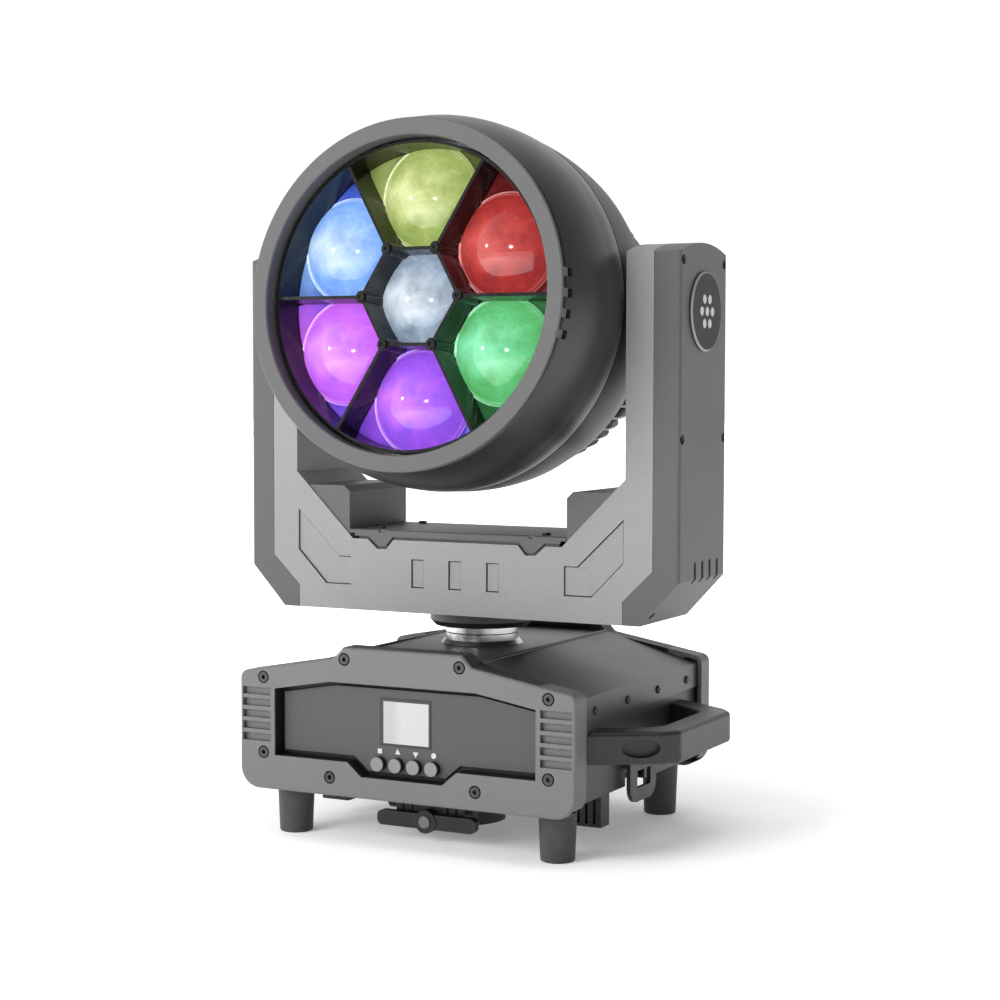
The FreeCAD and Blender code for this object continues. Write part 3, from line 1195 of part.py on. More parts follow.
def save_head():
    pieces = {
        "front_ring": [front_ring()],
        "barrel_shell": [barrel_shell()],
        "rear_shell": [rear_shell()],
        "heatsink": [heatsink()],
        "rear_cover": [rear_cover()],
        "head_fan": [head_fan()],
        "head_chassis": [head_chassis()],
        "tilt_axles": tilt_axles(),
        "tilt_pulley": [tilt_pulley()],
        "led_board": [led_board()],
        "light_rods": [light_rod(*place) for place in lens_places()],
        "guide_rods": [guide_rods()],
        "zoom_motor": [zoom_motor()],
        "lead_screw": [lead_screw()],
        "cell_frame": [cell_frame()],
        "zoom_lenses": zoom_lenses(),
        "lens_screws": lens_screws(),
    }
    for name, shapes in pieces.items():
        save(name, *[tipped(shape) for shape in shapes])


os.makedirs("parts", exist_ok=True)
save_base()
save_yoke()
save_head()
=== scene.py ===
import json
import math

import bpy
from mathutils import Matrix, Vector


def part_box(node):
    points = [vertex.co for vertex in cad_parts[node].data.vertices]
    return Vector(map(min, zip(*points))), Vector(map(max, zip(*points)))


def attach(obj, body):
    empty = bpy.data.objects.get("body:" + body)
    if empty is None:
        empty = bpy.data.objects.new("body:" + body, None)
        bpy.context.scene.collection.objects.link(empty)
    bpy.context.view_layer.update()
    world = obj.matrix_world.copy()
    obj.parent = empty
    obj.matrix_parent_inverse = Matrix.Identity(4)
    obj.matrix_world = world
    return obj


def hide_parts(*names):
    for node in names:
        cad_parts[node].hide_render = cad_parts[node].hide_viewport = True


# Looks of a moving head wash light. Metres, in the CAD frame: floor at z = 0, the display faces -Y.

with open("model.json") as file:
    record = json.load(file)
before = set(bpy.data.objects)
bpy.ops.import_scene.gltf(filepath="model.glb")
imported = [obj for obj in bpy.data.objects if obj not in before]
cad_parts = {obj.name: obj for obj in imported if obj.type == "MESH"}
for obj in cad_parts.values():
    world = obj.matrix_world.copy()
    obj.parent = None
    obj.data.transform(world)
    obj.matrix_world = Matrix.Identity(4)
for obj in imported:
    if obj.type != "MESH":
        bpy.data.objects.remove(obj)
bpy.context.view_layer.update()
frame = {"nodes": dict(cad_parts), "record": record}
NODES = frame["nodes"]
JOINTS = {joint["name"]: joint for joint in frame["record"]["behaviour"]["joints"]}

MM = 0.001

# ---- Lens cluster, as in the CAD, in millimetres along and across the head axis ------------
CELL_HEX_R = 37.35
CELL_RING_R = 70.0
CELL_HALF_WALL = 1.15
LENS_GAP = 0.15
LENS_FIELD_R = 103.35
# radius and height of the dome
CENTRE_LENS = (35.5, 18.0)
OUTER_LENS = (37.0, 19.5)
# share of the dome's radius and height over the flange, from the dome's edge outwards
LENS_BEAD = ((0.992, 0.9), (1.0, 1.15), (1.012, 1.1), (1.022, 0.5), (1.03, 0.12))
LENS_BACK = 79.05
LENS_FRONT = 81.6
FLANGE_SHARE = 1.03
EDGE_GAP = 0.3
LENS_STEPS = 96
DOME_STEPS = 24

# ---- Printed marks, in metres ---------------------------------------------------------------
BADGE_CENTRE_Z = 0.3665
BADGE_FACE_X = 0.1722
PANEL_FACE_Y = -0.1100
MARK_Z = 0.0668
BUTTON_XS = (-0.021, -0.007, 0.007, 0.021)
PRINT_THICKNESS = 0.00012
DOT_R = 0.0031
DOT_RING_R = 0.0095

# ---- Where painted shade, a pale rim or a bare bolt end starts on a CAD piece, in metres: (start, end) of each soft step ---
BEZEL_POCKET_Y = (0.1166, 0.1171)
BEZEL_FACE_Y = (0.1150, 0.1160)
BEZEL_VENT_X = (0.1030, 0.1035)
BEZEL_POCKET_Z = (0.046, 0.1145)
BUTTON_FACE_Y = (0.1140, 0.1145)
BOLT_END_Y = (0.08525, 0.08535)
RELIEF_FLOOR_Y = (0.0400, 0.0403)
RELIEF_BACK_Y = (0.0393, 0.0396)
RELIEF_Z = (0.1705, 0.2275)
BADGE_RIM_R = (0.0261, 0.0270)

# name, bright core, body, dim outer part, well around the dome; screen values 0 to 255
LENS_COLOURS = [
    ("centre", (232, 242, 250), (168, 190, 214), (124, 140, 158), (78, 84, 94)),
    ("top", (240, 248, 178), (186, 205, 124), (146, 168, 88), (84, 92, 40)),
    ("upper_right", (226, 96, 88), (192, 58, 54), (146, 48, 48), (98, 26, 28)),
    ("lower_right", (150, 250, 198), (108, 214, 136), (90, 178, 102), (46, 104, 58)),
    ("bottom", (226, 128, 246), (172, 84, 240), (136, 80, 218), (92, 70, 196)),
    ("lower_left", (242, 158, 248), (224, 110, 240), (188, 96, 238), (118, 78, 214)),
    ("upper_left", (222, 245, 251), (152, 202, 246), (120, 166, 242), (72, 98, 206)),
]


# ==== Material building ====================================================================
class Graph:
    """A small helper that adds nodes to one material and links them."""

    def __init__(self, name):
        self.material = bpy.data.materials.new(name)
        self.material.use_nodes = True
        self.tree = self.material.node_tree
        self.tree.nodes.clear()
        self.place = self.add("ShaderNodeTexCoord").outputs["Object"]

    def add(self, kind, **settings):
        node = self.tree.nodes.new(kind)
        for key, value in settings.items():
            setattr(node, key, value)
        return node

    def feed(self, socket, value):
        if isinstance(value, bpy.types.NodeSocket):
            self.tree.links.new(value, socket)
        elif isinstance(value, tuple) and len(value) == 3 and socket.type == "RGBA":
            socket.default_value = (*value, 1.0)
        else:
            socket.default_value = value

    def noise(self, scale, detail=4.0, roughness=0.55, distortion=0.0, place=None):
        node = self.add("ShaderNodeTexNoise")
        self.feed(node.inputs["Vector"], place or self.place)
        node.inputs["Scale"].default_value = scale
        node.inputs["Detail"].default_value = detail
        node.inputs["Roughness"].default_value = roughness
        node.inputs["Distortion"].default_value = distortion
        return node.outputs["Fac"]

    def voronoi(self, scale):
        node = self.add("ShaderNodeTexVoronoi")
        self.feed(node.inputs["Vector"], self.place)
        node.inputs["Scale"].default_value = scale
        return node.outputs["Distance"]

    def stretch(self, x, y, z):
        node = self.add("ShaderNodeMapping")
        self.feed(node.inputs["Vector"], self.place)
        node.inputs["Scale"].default_value = (x, y, z)
        return node.outputs["Vector"]

    def span(self, value, low, high, out_low=0.0, out_high=1.0, smooth=False):
        node = self.add("ShaderNodeMapRange", interpolation_type="SMOOTHSTEP" if smooth else "LINEAR")
        for key, number in zip(("Value", "From Min", "From Max", "To Min", "To Max"),
                               (value, low, high, out_low, out_high)):
            self.feed(node.inputs[key], number)
        return node.outputs["Result"]

    def math(self, operation, first, second=0.0):
        node = self.add("ShaderNodeMath", operation=operation)
        self.feed(node.inputs[0], first)
        self.feed(node.inputs[1], second)
        return node.outputs[0]

    def mix(self, factor, first, second):
        node = self.add("ShaderNodeMix", data_type="RGBA")
        self.feed(node.inputs["Factor"], factor)
        self.feed(node.inputs["A"], first)
        self.feed(node.inputs["B"], second)
        return node.outputs["Result"]

    def times(self, first, second):
        """Product of two values, which also combines two masks."""
        return self.math("MULTIPLY", first, second)

    def split(self):
        node = self.add("ShaderNodeSeparateXYZ")
        self.feed(node.inputs[0], self.place)
        return node.outputs["X"], node.outputs["Y"], node.outputs["Z"]

    def length(self, first, second):
        """Distance from the axis, from two coordinates."""
        return self.math("SQRT", self.math("ADD", self.times(first, first), self.times(second, second)))

    def before(self, value, limits):
        """1 up to the first limit, falling to 0 at the second."""
        return self.span(value, *limits, 1.0, 0.0)

    def within(self, value, limits, soft=0.0003):
        """1 between the two limits, 0 outside."""
        low, high = limits
        return self.times(self.span(value, low - soft, low), self.before(value, (high, high + soft)))

    def edges(self, width=0.0006, low=0.01, high=0.12):
        """1 within this width of an edge, 0 elsewhere; low and high are how far the normal turns there."""
        rounded = self.add("ShaderNodeBevel", samples=4)
        rounded.inputs["Radius"].default_value = width
        turn = self.add("ShaderNodeVectorMath", operation="DOT_PRODUCT")
        self.feed(turn.inputs[0], rounded.outputs["Normal"])
        self.feed(turn.inputs[1], self.add("ShaderNodeNewGeometry").outputs["Normal"])
        return self.span(self.math("SUBTRACT", 1.0, turn.outputs["Value"]), low, high)

    def bump(self, height, strength, distance):
        node = self.add("ShaderNodeBump")
        node.inputs["Strength"].default_value = strength
        node.inputs["Distance"].default_value = distance
        self.feed(node.inputs["Height"], height)
        return node.outputs["Normal"]

    def finish(self, colour, roughness, normal=None, metallic=0.0, **more):
        surface = self.add("ShaderNodeBsdfPrincipled")
        self.feed(surface.inputs["Base Color"], colour)
        self.feed(surface.inputs["Roughness"], roughness)
        self.feed(surface.inputs["Metallic"], metallic)
        if normal:
            self.feed(surface.inputs["Normal"], normal)
        for key, value in more.items():
            self.feed(surface.inputs[key.replace("_", " ")], value)
        output = self.add("ShaderNodeOutputMaterial")
        self.tree.links.new(surface.outputs[0], output.inputs["Surface"])
        return self.material


def grey(value):
    return (value, value, value)


def moulded(name, tone, roughness=0.5, grain=900.0, edge_wear_and_highlight=0.25, blotch=0.05, mask=None):
    """Grained charcoal plastic or powder coat with faint clouds, paler edges that are wear and partly a
    painted edge highlight, and painted black shade in the mask.
    """
    g = Graph(name)
    clouds = g.noise(9.0, 2.0, 0.5)
    speckle = g.noise(grain * 0.8, 2.0, 0.7)
    body = g.mix(g.span(clouds, 0.3, 0.7), grey(tone * (1 - blotch)), grey(tone * (1 + blotch)))
    body = g.mix(g.span(speckle, 0.35, 0.75, 0.0, 0.25), body, grey(tone * 1.6))
    scuffs = g.span(g.noise(120.0, 5.0, 0.7), 0.45, 0.62)
    # Paler edges: wear in scuffed patches, partly also a painted edge highlight.
    worn_and_highlit_edges = g.times(g.edges(), g.times(scuffs, edge_wear_and_highlight))
    colour = g.mix(worn_and_highlit_edges, body, grey(min(1.0, tone * 3.2)))
    # Painted shade: near-black where the mask marks a groove or side that lies in shadow.
    if mask:
        colour = g.mix(mask(g), colour, grey(0.008))
    rough = g.span(clouds, 0.3, 0.7, roughness - 0.03, roughness + 0.04)
    rough = g.math("SUBTRACT", rough, g.times(worn_and_highlit_edges, 0.15))
    pits = g.math("ADD", g.voronoi(grain), g.times(g.noise(grain * 1.6, 2.0), 0.6))
    return g.finish(colour, rough, g.bump(pits, 0.22, 0.00012), Specular_IOR_Level=0.5)


def turned_metal(name, tone, roughness=0.28, edge_wear_and_highlight=0.3, streak=(1, 1, 60)):
    """Bare machined metal with fine lines and small stains."""
    g = Graph(name)
    lines = g.noise(60.0, 4.0, 0.7, place=g.stretch(*streak))
    stains = g.noise(45.0, 5.0, 0.65)
    colour = g.mix(g.span(stains, 0.35, 0.7), grey(tone), grey(tone * 0.72))
    # Paler edges: wear, partly also a painted edge highlight.
    colour = g.mix(g.times(g.edges(), edge_wear_and_highlight), colour, grey(min(1.0, tone * 1.35)))
    rough = g.span(lines, 0.3, 0.7, roughness - 0.07, roughness + 0.12)
    return g.finish(colour, rough, g.bump(lines, 0.15, 0.00008), 1.0)


def oxide(name, tone=0.02, roughness=0.42, bright=None):
    """Blackened steel with rubbed edges; bright marks where it is bare."""
    g = Graph(name)
    clouds = g.noise(60.0, 4.0, 0.6)
    rubbed = g.times(g.edges(), g.span(g.noise(300.0, 3.0), 0.4, 0.6))
    if bright:
        rubbed = g.math("MAXIMUM", rubbed, bright(g))
    colour = g.mix(g.span(clouds, 0.3, 0.7), grey(tone * 0.8), grey(tone * 1.5))
    colour = g.mix(g.times(rubbed, 0.6), colour, grey(0.3))
    rough = g.span(clouds, 0.3, 0.7, roughness - 0.08, roughness + 0.1)
    return g.finish(colour, rough, g.bump(g.noise(700.0, 2.0), 0.1, 0.00008), g.span(rubbed, 0, 1, 0.3, 0.9))


def rubber(name, tone=0.035):
    """Dusty moulded rubber."""
    g = Graph(name)
    dust = g.noise(40.0, 6.0, 0.7)
    colour = g.mix(g.span(dust, 0.35, 0.7), grey(tone * 0.8), grey(tone * 1.7))
    # Paler edges: partly wear, partly a painted edge highlight.
    colour = g.mix(g.times(g.edges(), 0.4), colour, grey(tone * 2.6))
    return g.finish(colour, g.span(dust, 0.3, 0.7, 0.5, 0.68), g.bump(g.noise(1400.0, 3.0), 0.25, 0.0001))


def circuit(name):
    """Green board with copper specks."""
    g = Graph(name)
    patches = g.voronoi(160.0)
    colour = g.mix(g.span(patches, 0.2, 0.6), (0.012, 0.07, 0.03), (0.02, 0.12, 0.05))
    colour = g.mix(g.span(g.noise(500.0, 2.0), 0.62, 0.7), colour, (0.5, 0.42, 0.2))
    return g.finish(colour, 0.35, g.bump(patches, 0.1, 0.0001))


def clear_plastic(name):
    """Slightly hazy clear moulding."""
    g = Graph(name)
    haze = g.noise(80.0, 4.0)
    colour = g.mix(g.span(haze, 0.3, 0.7), (0.8, 0.86, 0.92), (0.95, 0.97, 1.0))
    rough = g.span(haze, 0.3, 0.7, 0.08, 0.2)
    return g.finish(colour, rough, g.bump(haze, 0.05, 0.0001), Transmission_Weight=0.6)


def glossy_black(name, tone=0.006, roughness=0.22):
    """The polished black of the lens cells, which picks up the lenses' colours."""
    g = Graph(name)
    clouds = g.noise(30.0, 4.0)
    colour = g.mix(g.span(clouds, 0.3, 0.7), grey(tone * 0.7), grey(tone * 1.4))
    rough = g.span(g.noise(200.0, 4.0), 0.3, 0.7, roughness - 0.05, roughness + 0.1)
    return g.finish(colour, rough, g.bump(clouds, 0.08, 0.0002), Specular_IOR_Level=0.35)


def lit(colour, gain=1.0):
    """Scene-linear colour from screen values."""
    linear = [((part / 255 + 0.055) / 1.055) ** 2.4 if part > 10 else part / 255 / 12.92 for part in colour]
    return tuple(part * gain for part in linear)


def lens_body(g, radius, clouds, fine, core, body, dim):
    """Cloudy body, paler round a point left of the middle, with small flecks."""
    squash = g.stretch(0.8, 1.25, 0.0)
    from_heart = g.add("ShaderNodeVectorMath", operation="DISTANCE")
    g.feed(from_heart.inputs[0], squash)
    from_heart.inputs[1].default_value = (-6.0 * MM, 1.0 * MM, 0.0)
    heart = g.span(from_heart.outputs["Value"], 0.004, 0.031, 1.0, 0.0, smooth=True)
    heart = g.times(heart, g.span(clouds, 0.3, 0.65, 0.35, 1.25))
    flecks = g.times(g.span(fine, 0.52, 0.75, 0.0, 0.45), g.span(clouds, 0.4, 0.6))
    colour = g.mix(g.span(clouds, 0.35, 0.62), dim, body)
    colour = g.mix(g.span(radius, 0.5, 0.95, 0.0, 0.6, smooth=True), colour, dim)
    colour = g.mix(heart, colour, core)
    return g.mix(flecks, colour, core)


def lens_well(g, x, radius, lens_r, clouds, body, well, dark_well):
    """The darker flange round the dome, with a lit crescent on its left."""
    lit_side = g.span(x, -1.1 * lens_r, -0.45 * lens_r, 0.85, 0.0, smooth=True)
    crescent = g.times(lit_side, g.span(radius, 1.0, 1.5, 1.0, 0.15))
    pool = g.mix(g.span(clouds, 0.3, 0.65), dark_well, well)
    return g.mix(g.times(crescent, g.span(clouds, 0.3, 0.6, 0.7, 1.0)), pool, body)


def lens_rim_highlight(g, x, radius, fine):
    """Painted highlight: two fine bright lines at the dome's edge, strongest on the left."""
    left = g.span(x, -0.030, 0.012, 1.0, 0.25)
    band = g.times(g.span(radius, 0.925, 0.94), g.before(radius, (0.955, 0.965)))
    edge = g.times(g.span(radius, 0.985, 0.992), g.before(radius, (1.005, 1.012)))
    lines = g.math("MAXIMUM", edge, g.times(band, 0.45))
    return g.times(g.times(lines, left), g.span(fine, 0.3, 0.6, 0.5, 1.0))


def lens_glow(name, radius_mm, core, body, dim, well):
    """A lit moulded lens."""
    g = Graph(name)
    x, y, z = g.split()
    lens_r = radius_mm * MM
    radius = g.math("DIVIDE", g.length(x, y), lens_r)
    clouds = g.noise(52.0, 6.0, 0.62, 0.25)
    fine = g.noise(230.0, 4.0, 0.7, 0.2)
    dome = lens_body(g, radius, clouds, fine, lit(core), lit(body), lit(dim))
    pool = lens_well(g, x, radius, lens_r, clouds, lit(body), lit(well), lit(well, 0.55))
    colour = g.mix(g.span(radius, 0.985, 1.0), dome, pool)
    # Painted highlight: the rim lines take a pale copy of the core colour.
    pale = tuple(min(1.3, part * 0.85 + 0.38) for part in lit(core))
    colour = g.mix(lens_rim_highlight(g, x, radius, fine), colour, pale)
    return g.finish(lit(well, 0.3), g.span(fine, 0.3, 0.7, 0.06, 0.16), g.bump(clouds, 0.12, 0.0004),
                    Emission_Color=colour, Emission_Strength=0.92, Coat_Weight=0.22, Coat_Roughness=0.03)


def screen(name):
    """A switched-on blank display: pale, slightly brighter to the right, framed by its black mask."""
    g = Graph(name)
    low, high = (Vector(corner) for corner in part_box("display_window"))
    x, y, z = g.split()
    across = g.span(x, low.x, high.x)
    up = g.span(z, low.z, high.z)
    shade = g.mix(g.span(across, 0.2, 0.45, smooth=True), (0.50, 0.50, 0.53), (0.66, 0.65, 0.68))
    shade = g.mix(g.span(g.noise(400.0, 2.0), 0.3, 0.7, 0.0, 0.15), shade, (0.42, 0.42, 0.45))
    columns = g.times(g.span(across, 0.07, 0.08), g.before(across, (0.955, 0.965)))
    rows = g.times(g.span(up, 0.05, 0.06), g.before(up, (0.93, 0.94)))
    active = g.times(columns, rows)
    colour = g.mix(active, (0.02, 0.02, 0.022), shade)
    return g.finish(g.mix(active, grey(0.01), grey(0.12)), 0.12, g.bump(g.noise(900.0, 2.0), 0.02, 0.00005),
                    Emission_Color=colour, Emission_Strength=g.times(active, 0.75))


def badge(name):
    """A satin black disc with a pale bevelled rim."""
    g = Graph(name)
    x, y, z = g.split()
    radius = g.length(y, g.math("SUBTRACT", z, BADGE_CENTRE_Z))
    clouds = g.noise(60.0, 4.0, 0.6)
    body = g.mix(g.span(clouds, 0.3, 0.7), grey(0.010), grey(0.018))
    colour = g.mix(g.times(g.within(radius, BADGE_RIM_R), 0.8), body, grey(0.35))
    return g.finish(colour, g.span(clouds, 0.3, 0.7, 0.45, 0.55), g.bump(g.noise(1500.0, 2.0), 0.1, 0.00006),
                    Specular_IOR_Level=0.2)


# ---- Masks: 1 where a piece takes painted shade or a bare bolt end, 0 elsewhere -------------
def sizes(g):
    """How far a point is from the middle along X and Y, and its height."""
    x, y, z = g.split()
    return g.math("ABSOLUTE", x), g.math("ABSOLUTE", y), z


def bezel_shadow(g):
    """The groove round the inset panel and the screws' counterbores."""
    x, y, z = sizes(g)
    beside_vents = g.before(x, BEZEL_VENT_X)
    groove = g.times(g.before(y, BEZEL_POCKET_Y), g.times(beside_vents, g.within(z, BEZEL_POCKET_Z)))
    return g.math("MAXIMUM", groove, g.times(g.before(y, BEZEL_FACE_Y), beside_vents))


def button_side_shade(g):
    """Painted shade: 1 on everything behind a button's face, its shaded sides."""
    x, y, z = sizes(g)
    return g.before(y, BUTTON_FACE_Y)


def bolt_end(g):
    """The bare end of a wing bolt."""
    x, y, z = sizes(g)
    return g.span(y, *BOLT_END_Y)


def relief_shadow(g):
    """The floor of the deep outlines on the crossbar's face."""
    x, y, z = sizes(g)
    floor = g.times(g.before(y, RELIEF_FLOOR_Y), g.span(y, *RELIEF_BACK_Y))
    return g.times(floor, g.within(z, RELIEF_Z))


# ==== Materials ============================================================================
CHARCOAL = moulded("charcoal_moulding", 0.20, mask=relief_shadow)
# Painted shade: the arm covers are the casing's charcoal drawn darker for the shade on their sides.
ARM_COVER_SHADED = moulded("arm_cover_shaded_moulding", 0.066)
HOUSING = moulded("housing_moulding", 0.07)
BASE = moulded("base_moulding", 0.11, mask=bezel_shadow)
PANEL = moulded("panel_moulding", 0.052)
CHARCOAL_DARK = moulded("charcoal_dark", 0.014, roughness=0.42)
BARREL = moulded("barrel_paint", 0.016, roughness=0.36, grain=1100.0, edge_wear_and_highlight=0.1)
# Painted shade: the rear shell is the barrel's black paint drawn darker for the shade it lies in.
SHELL_SHADED = moulded("shell_shaded_paint", 0.008, roughness=0.46, grain=1100.0, edge_wear_and_highlight=0.1)
RING = moulded("ring_paint", 0.074, roughness=0.5)
COVER = moulded("cover_satin", 0.019, roughness=0.38, grain=1000.0)
TRAY = moulded("tray_paint", 0.03, roughness=0.45)
BUTTON = moulded("button_grey", 0.16, roughness=0.4, grain=1500.0, mask=button_side_shade)
BLACK = moulded("matt_black", 0.012, roughness=0.5)
BADGE = badge("badge_black")
PRINT = moulded("pale_print", 0.45, roughness=0.5, edge_wear_and_highlight=0.0)
STEEL = turned_metal("turned_steel", 0.62)
SCREW = turned_metal("screw_steel", 0.09, 0.36)
ALUMINIUM = turned_metal("machined_aluminium", 0.5, 0.32)
ANODISED = turned_metal("dark_anodised", 0.06, 0.4, streak=(1, 1, 1))
OXIDE = oxide("black_oxide")
WING = oxide("wing_black", 0.016, bright=bolt_end)
RUBBER = rubber("foot_rubber")
BELT = rubber("belt_rubber", 0.02)
CIRCUIT = circuit("circuit_board")
CLEAR = clear_plastic("collimator")
CELLS = glossy_black("cell_black")
SCREEN = screen("screen")

LOOKS = [
    (TRAY, ["base_tray"]),
    (COVER, ["base_top_cover"]),
    (BASE, ["front_bezel", "rear_bezel"]),
    (PANEL, ["control_panel", "rear_panel"]),
    (SCREEN, ["display_window"]),
    (CIRCUIT, ["control_boards", "led_board"]),
    (BLACK, ["rear_sockets", "head_fan"]),
    (CHARCOAL_DARK, ["handle_right", "handle_left", "pan_flange"]),
    (RUBBER, ["feet"]),
    (SCREW, ["bezel_screws"]),
    (OXIDE, ["cover_screws", "safety_eye", "clamp_rail", "hook_front", "hook_rear", "arm_screws",
             "drive_motors", "zoom_motor"]),
    (ALUMINIUM, ["power_supply", "pan_shaft", "pan_pulley", "pan_motor_pulley", "tilt_motor_pulley",
                 "head_chassis", "tilt_axles", "tilt_pulley"]),
    (STEEL, ["lower_collar", "upper_collar", "yoke_bearings", "guide_rods", "lead_screw"]),
    (WING, ["wing_bolt_front", "wing_bolt_rear"]),
    (BUTTON, ["menu_button_1", "menu_button_2", "menu_button_3", "menu_button_4"]),
    (CHARCOAL, ["yoke_casing"]),
    (ARM_COVER_SHADED, ["arm_cover_right", "arm_cover_left"]),
    (BADGE, ["arm_badges"]),
    (HOUSING, ["yoke_top_cover", "motor_housings"]),
    (BELT, ["drive_belts"]),
    (RING, ["front_ring"]),
    (BARREL, ["barrel_shell", "rear_cover"]),
    (SHELL_SHADED, ["rear_shell"]),
    (ANODISED, ["heatsink"]),
    (CLEAR, ["light_rods", "zoom_lenses"]),
    (CELLS, ["cell_frame", "lens_screws"]),
]


def dress_nodes():
    """Puts each material on its CAD pieces."""
    for material, nodes in LOOKS:
        for node in nodes:
            slots = NODES[node].data.materials
            slots.clear()
            slots.append(material)


# ==== Head frame ===========================================================================
def head_matrix():
    """Local +Z forward along the lens axis, +Y up, origin on the tilt axis."""
    forward = -Vector(JOINTS["zoom"]["axis"]).normalized()
    right = Vector((1.0, 0.0, 0.0))
    up = forward.cross(right)
    turn = Matrix((right, up, forward)).transposed().to_4x4()
    return Matrix.Translation(Vector(JOINTS["tilt"]["pos_m"])) @ turn


HEAD = head_matrix()


def mesh_piece(name, points, faces, material, body, matrix=None, smooth=True):
    """A mesh that rides on a body and counts as part of one material slot."""
    mesh = bpy.data.meshes.new(name)
    mesh.from_pydata([tuple(point) for point in points], [], faces)
    mesh.materials.append(material)
    mesh.polygons.foreach_set("use_smooth", [smooth] * len(mesh.polygons))
    mesh.update()
    piece = bpy.data.objects.new(name, mesh)
    bpy.context.scene.collection.objects.link(piece)
    if matrix is not None:
        piece.matrix_world = matrix
    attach(piece, body)
    return piece


# ==== Lenses ===============================================================================
def compass(degrees):
    """Unit vector at an angle from +X."""
    angle = math.radians(degrees)
    return Vector((math.cos(angle), math.sin(angle)))


def wall_distances(centre):
    """Each straight cell wall round a lens: its normal, and its distance in mm from the lens centre."""
    side = CELL_HEX_R * math.cos(math.radians(30))
    gap = CELL_HALF_WALL + LENS_GAP
    if centre.length < 1.0:
        return [(compass(30 + 60 * number), side - gap) for number in range(6)]
    outward = centre.normalized()
    walls = [(-outward, centre.length - side - gap)]
    for turn in (1, -1):
        along = Matrix.Rotation(math.radians(30 * turn), 2) @ outward
        normal = Vector((-along.y, along.x)) * turn
        walls.append((normal, -centre.dot(normal) - gap))
    return walls


def field_reach(centre, direction):
    """Distance in mm from a lens centre to the edge of its cell, in this direction."""
    towards = [(direction.dot(normal), distance) for normal, distance in wall_distances(centre)]
    reach = [distance / share for share, distance in towards if share > 1e-6]
    inward = centre.dot(direction)
    reach.append(-inward + math.sqrt(inward ** 2 - centre.length_squared + LENS_FIELD_R ** 2))
    return min(reach)


def dome_rings(lens_r, height):
    """Radius and place along the axis of each ring, from the dome's top to the flange."""
    sphere_r = (lens_r ** 2 + height ** 2) / (2 * height)
    rings = []
    for step in range(1, DOME_STEPS + 1):
        r = lens_r * math.sin(math.pi / 2 * step / DOME_STEPS) * 0.985
        rings.append((r, LENS_FRONT + height - sphere_r + math.sqrt(sphere_r ** 2 - r ** 2)))
    return rings + [(lens_r * share, LENS_FRONT + lift) for share, lift in LENS_BEAD]


def lens_points(centre, lens_r, height):
    """Top point, rings outwards over the front, rings inwards over the back, back point."""
    directions = [compass(360 * number / LENS_STEPS) for number in range(LENS_STEPS)]
    reach = [field_reach(centre, direction) for direction in directions]
    points = [(0.0, 0.0, LENS_FRONT + height)]
    for radius, s in dome_rings(lens_r, height):
        for direction, limit in zip(directions, reach):
            points.append((*(direction * min(radius, limit - EDGE_GAP)), s))
    for share, s in ((0.5, LENS_FRONT + 0.02), (1.0, LENS_FRONT), (1.0, LENS_BACK), (0.5, LENS_BACK)):
        for direction, limit in zip(directions, reach):
            inner = min(lens_r * FLANGE_SHARE, limit - EDGE_GAP)
            points.append((*(direction * (inner + (limit - inner) * share)), s))
    return points + [(0.0, 0.0, LENS_BACK)]


def lathe_faces(point_count):
    """Faces over rings of LENS_STEPS points between a first and a last point."""
    following = [(number + 1) % LENS_STEPS for number in range(LENS_STEPS)]
    end = point_count - 1
    starts = range(1, end, LENS_STEPS)
    faces = [(0, 1 + number, 1 + ahead) for number, ahead in enumerate(following)]
    for start, after in zip(starts, starts[1:]):
        faces += [(start + n, after + n, after + ahead, start + ahead) for n, ahead in enumerate(following)]
    last = starts[-1]
    return faces + [(last + number, end, last + ahead) for number, ahead in enumerate(following)]


def lens_piece(name, centre, size, material):
    """Dome, rim bead and sloping flange out to the cell's walls, closed at the back."""
    points = [tuple(part * MM for part in point) for point in lens_points(centre, *size)]
    matrix = HEAD @ Matrix.Translation((centre.x * MM, centre.y * MM, 0.0))
    return mesh_piece(name, points, lathe_faces(len(points)), material, "zoom_carriage", matrix)


def build_lenses():
    """One lens in the middle and six round it, clockwise from the top."""
    for number, (place, *colours) in enumerate(LENS_COLOURS):
        centre = CELL_RING_R * compass(90 - 60 * (number - 1)) if number else Vector((0.0, 0.0))
        size = OUTER_LENS if number else CENTRE_LENS
        piece = lens_piece("lens_" + place, centre, size, lens_glow("glow_" + place, size[0], *colours))
        if number == 0:
            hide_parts("zoom_lenses")


# ==== Printed marks ========================================================================
def regular(count, radius, start=0.0):
    """Corners of a regular polygon."""
    return [tuple(radius * compass(start + 360.0 * number / count)) for number in range(count)]


def printed(name, outline, place, across, up, body):
    """A flat printed shape: an outline of (across, up) points, standing proud of the face it lies on."""
    outward = across.cross(up)
    loops = []
    for lift in (-PRINT_THICKNESS, PRINT_THICKNESS):
        loops.extend(place + across * a + up * b + outward * lift for a, b in outline)
    count = len(outline)
    faces = [tuple(range(count, 2 * count)), tuple(reversed(range(count)))]
    faces += [(n, (n + 1) % count, count + (n + 1) % count, count + n) for n in range(count)]
    return mesh_piece(name, loops, faces, PRINT, body, smooth=False)


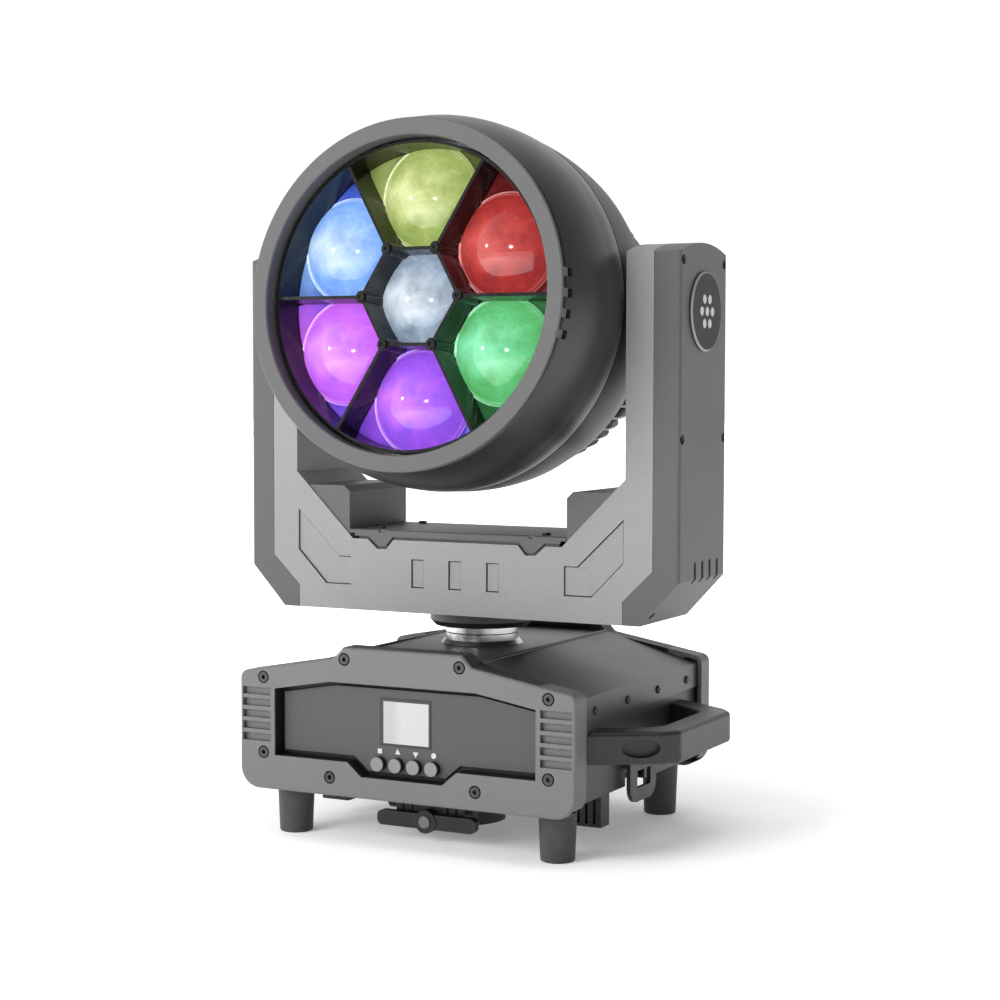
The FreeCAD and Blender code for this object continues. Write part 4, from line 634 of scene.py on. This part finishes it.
def build_marks():
    """A generic pictogram over each button, and seven dots in a hexagon on each badge."""
    right, up = Vector((1, 0, 0)), Vector((0, 0, 1))
    shapes = (regular(4, 0.0023, 45), regular(3, 0.0025, 90), regular(3, 0.0025, -90), regular(24, 0.0019))
    for number, (x, shape) in enumerate(zip(BUTTON_XS, shapes), 1):
        place = Vector((x, PANEL_FACE_Y, MARK_Z))
        printed("button_mark_%d" % number, shape, place, right, up, "base")
    dots = [(0.0, 0.0)] + regular(6, DOT_RING_R)
    for side, side_name in ((1, "right"), (-1, "left")):
        for number, (a, b) in enumerate(dots):
            place = Vector((side * BADGE_FACE_X, side * a, BADGE_CENTRE_Z + b))
            name = "badge_dot_%s_%d" % (side_name, number)
            printed(name, regular(32, DOT_R), place, Vector((0, side, 0)), up, "yoke")


# ==== Stage, light and camera ==============================================================
CAMERA_PLACE = Vector((0.6971, -1.3291, 0.3209))
CAMERA_FORWARD = Vector((-0.4562, 0.8880, -0.0582))
CAMERA_ROLL = 0.11


def paper(name):
    """White paper that keeps the shadow under the object and glows softly further out."""
    g = Graph(name)
    x, y, z = g.split()
    fibres = g.noise(300.0, 3.0)
    colour = g.mix(g.span(fibres, 0.3, 0.7), grey(0.92), grey(0.94))
    glow = g.span(g.length(x, y), 0.12, 0.75, 0.22, 1.0, smooth=True)
    return g.finish(colour, 0.9, Emission_Color=grey(1.0), Emission_Strength=glow)


def build_stage():
    """A round sheet of paper, wide enough to fill the view."""
    bpy.ops.mesh.primitive_circle_add(vertices=128, radius=14.0, fill_type="NGON", location=(0, 0, 0))
    floor = bpy.context.object
    floor.name = "floor"
    floor.data.materials.append(paper("floor_paper"))


def area_light(name, place, target, size, power, glossy=True):
    """A rectangular lamp that faces its target; glossy says whether it shows in reflections."""
    data = bpy.data.lights.new(name, "AREA")
    data.shape = "RECTANGLE"
    data.size, data.size_y = size
    data.energy = power
    lamp = bpy.data.objects.new(name, data)
    lamp.location = place
    lamp.rotation_euler = (Vector(target) - Vector(place)).to_track_quat("-Z", "Y").to_euler()
    lamp.visible_glossy = glossy
    bpy.context.scene.collection.objects.link(lamp)


def build_world():
    """White all round, darker towards the right, the front and the top."""
    world = bpy.data.worlds.new("studio")
    bpy.context.scene.world = world
    world.use_nodes = True
    tree = world.node_tree
    back = tree.nodes["Background"]
    place = tree.nodes.new("ShaderNodeTexCoord")
    facing = tree.nodes.new("ShaderNodeVectorMath")
    facing.operation = "DOT_PRODUCT"
    facing.inputs[1].default_value = (0.72, -0.50, 0.48)
    tree.links.new(place.outputs["Generated"], facing.inputs[0])
    level = tree.nodes.new("ShaderNodeMapRange")
    level.interpolation_type = "SMOOTHSTEP"
    for key, number in zip(("From Min", "From Max", "To Min", "To Max"), (-0.35, 0.75, 1.05, 0.22)):
        level.inputs[key].default_value = number
    tree.links.new(facing.outputs["Value"], level.inputs["Value"])
    back.inputs["Color"].default_value = (1.0, 1.0, 1.0, 1.0)
    tree.links.new(level.outputs["Result"], back.inputs["Strength"])


def build_lights():
    """Soft key from the front left, fill from the top and left, and two small highlights for the lenses."""
    aim = (0.0, 0.0, 0.3)
    area_light("key", (-0.9, -2.2, 1.1), aim, (1.2, 1.2), 54.0, glossy=False)
    area_light("top", (0.2, -0.2, 2.2), aim, (1.6, 1.6), 12.0)
    area_light("left", (-2.2, -0.6, 0.7), aim, (0.5, 1.6), 10.0)
    area_light("spark_left", (-1.55, -1.7, 0.74), aim, (0.15, 0.14), 3.0)
    area_light("spark_right", (0.12, -2.0, 0.62), aim, (0.17, 0.10), 3.0)


def build_camera():
    """A long lens, slightly right of the front and a little above the floor, looking slightly down."""
    data = bpy.data.cameras.new("camera")
    data.sensor_width = 36.0
    data.lens = 75.14
    data.clip_start = 0.05
    data.clip_end = 100.0
    camera = bpy.data.objects.new("camera", data)
    forward = CAMERA_FORWARD.normalized()
    right = forward.cross(Vector((0, 0, 1))).normalized()
    up = right.cross(forward)
    turn = Matrix((right, up, -forward)).transposed() @ Matrix.Rotation(math.radians(CAMERA_ROLL), 3, "Z")
    camera.matrix_world = Matrix.Translation(CAMERA_PLACE) @ turn.to_4x4()
    bpy.context.scene.collection.objects.link(camera)
    bpy.context.scene.camera = camera


dress_nodes()
build_lenses()
build_marks()
build_stage()
build_world()
build_lights()
build_camera()
bpy.context.scene.view_settings.view_transform = "Standard"
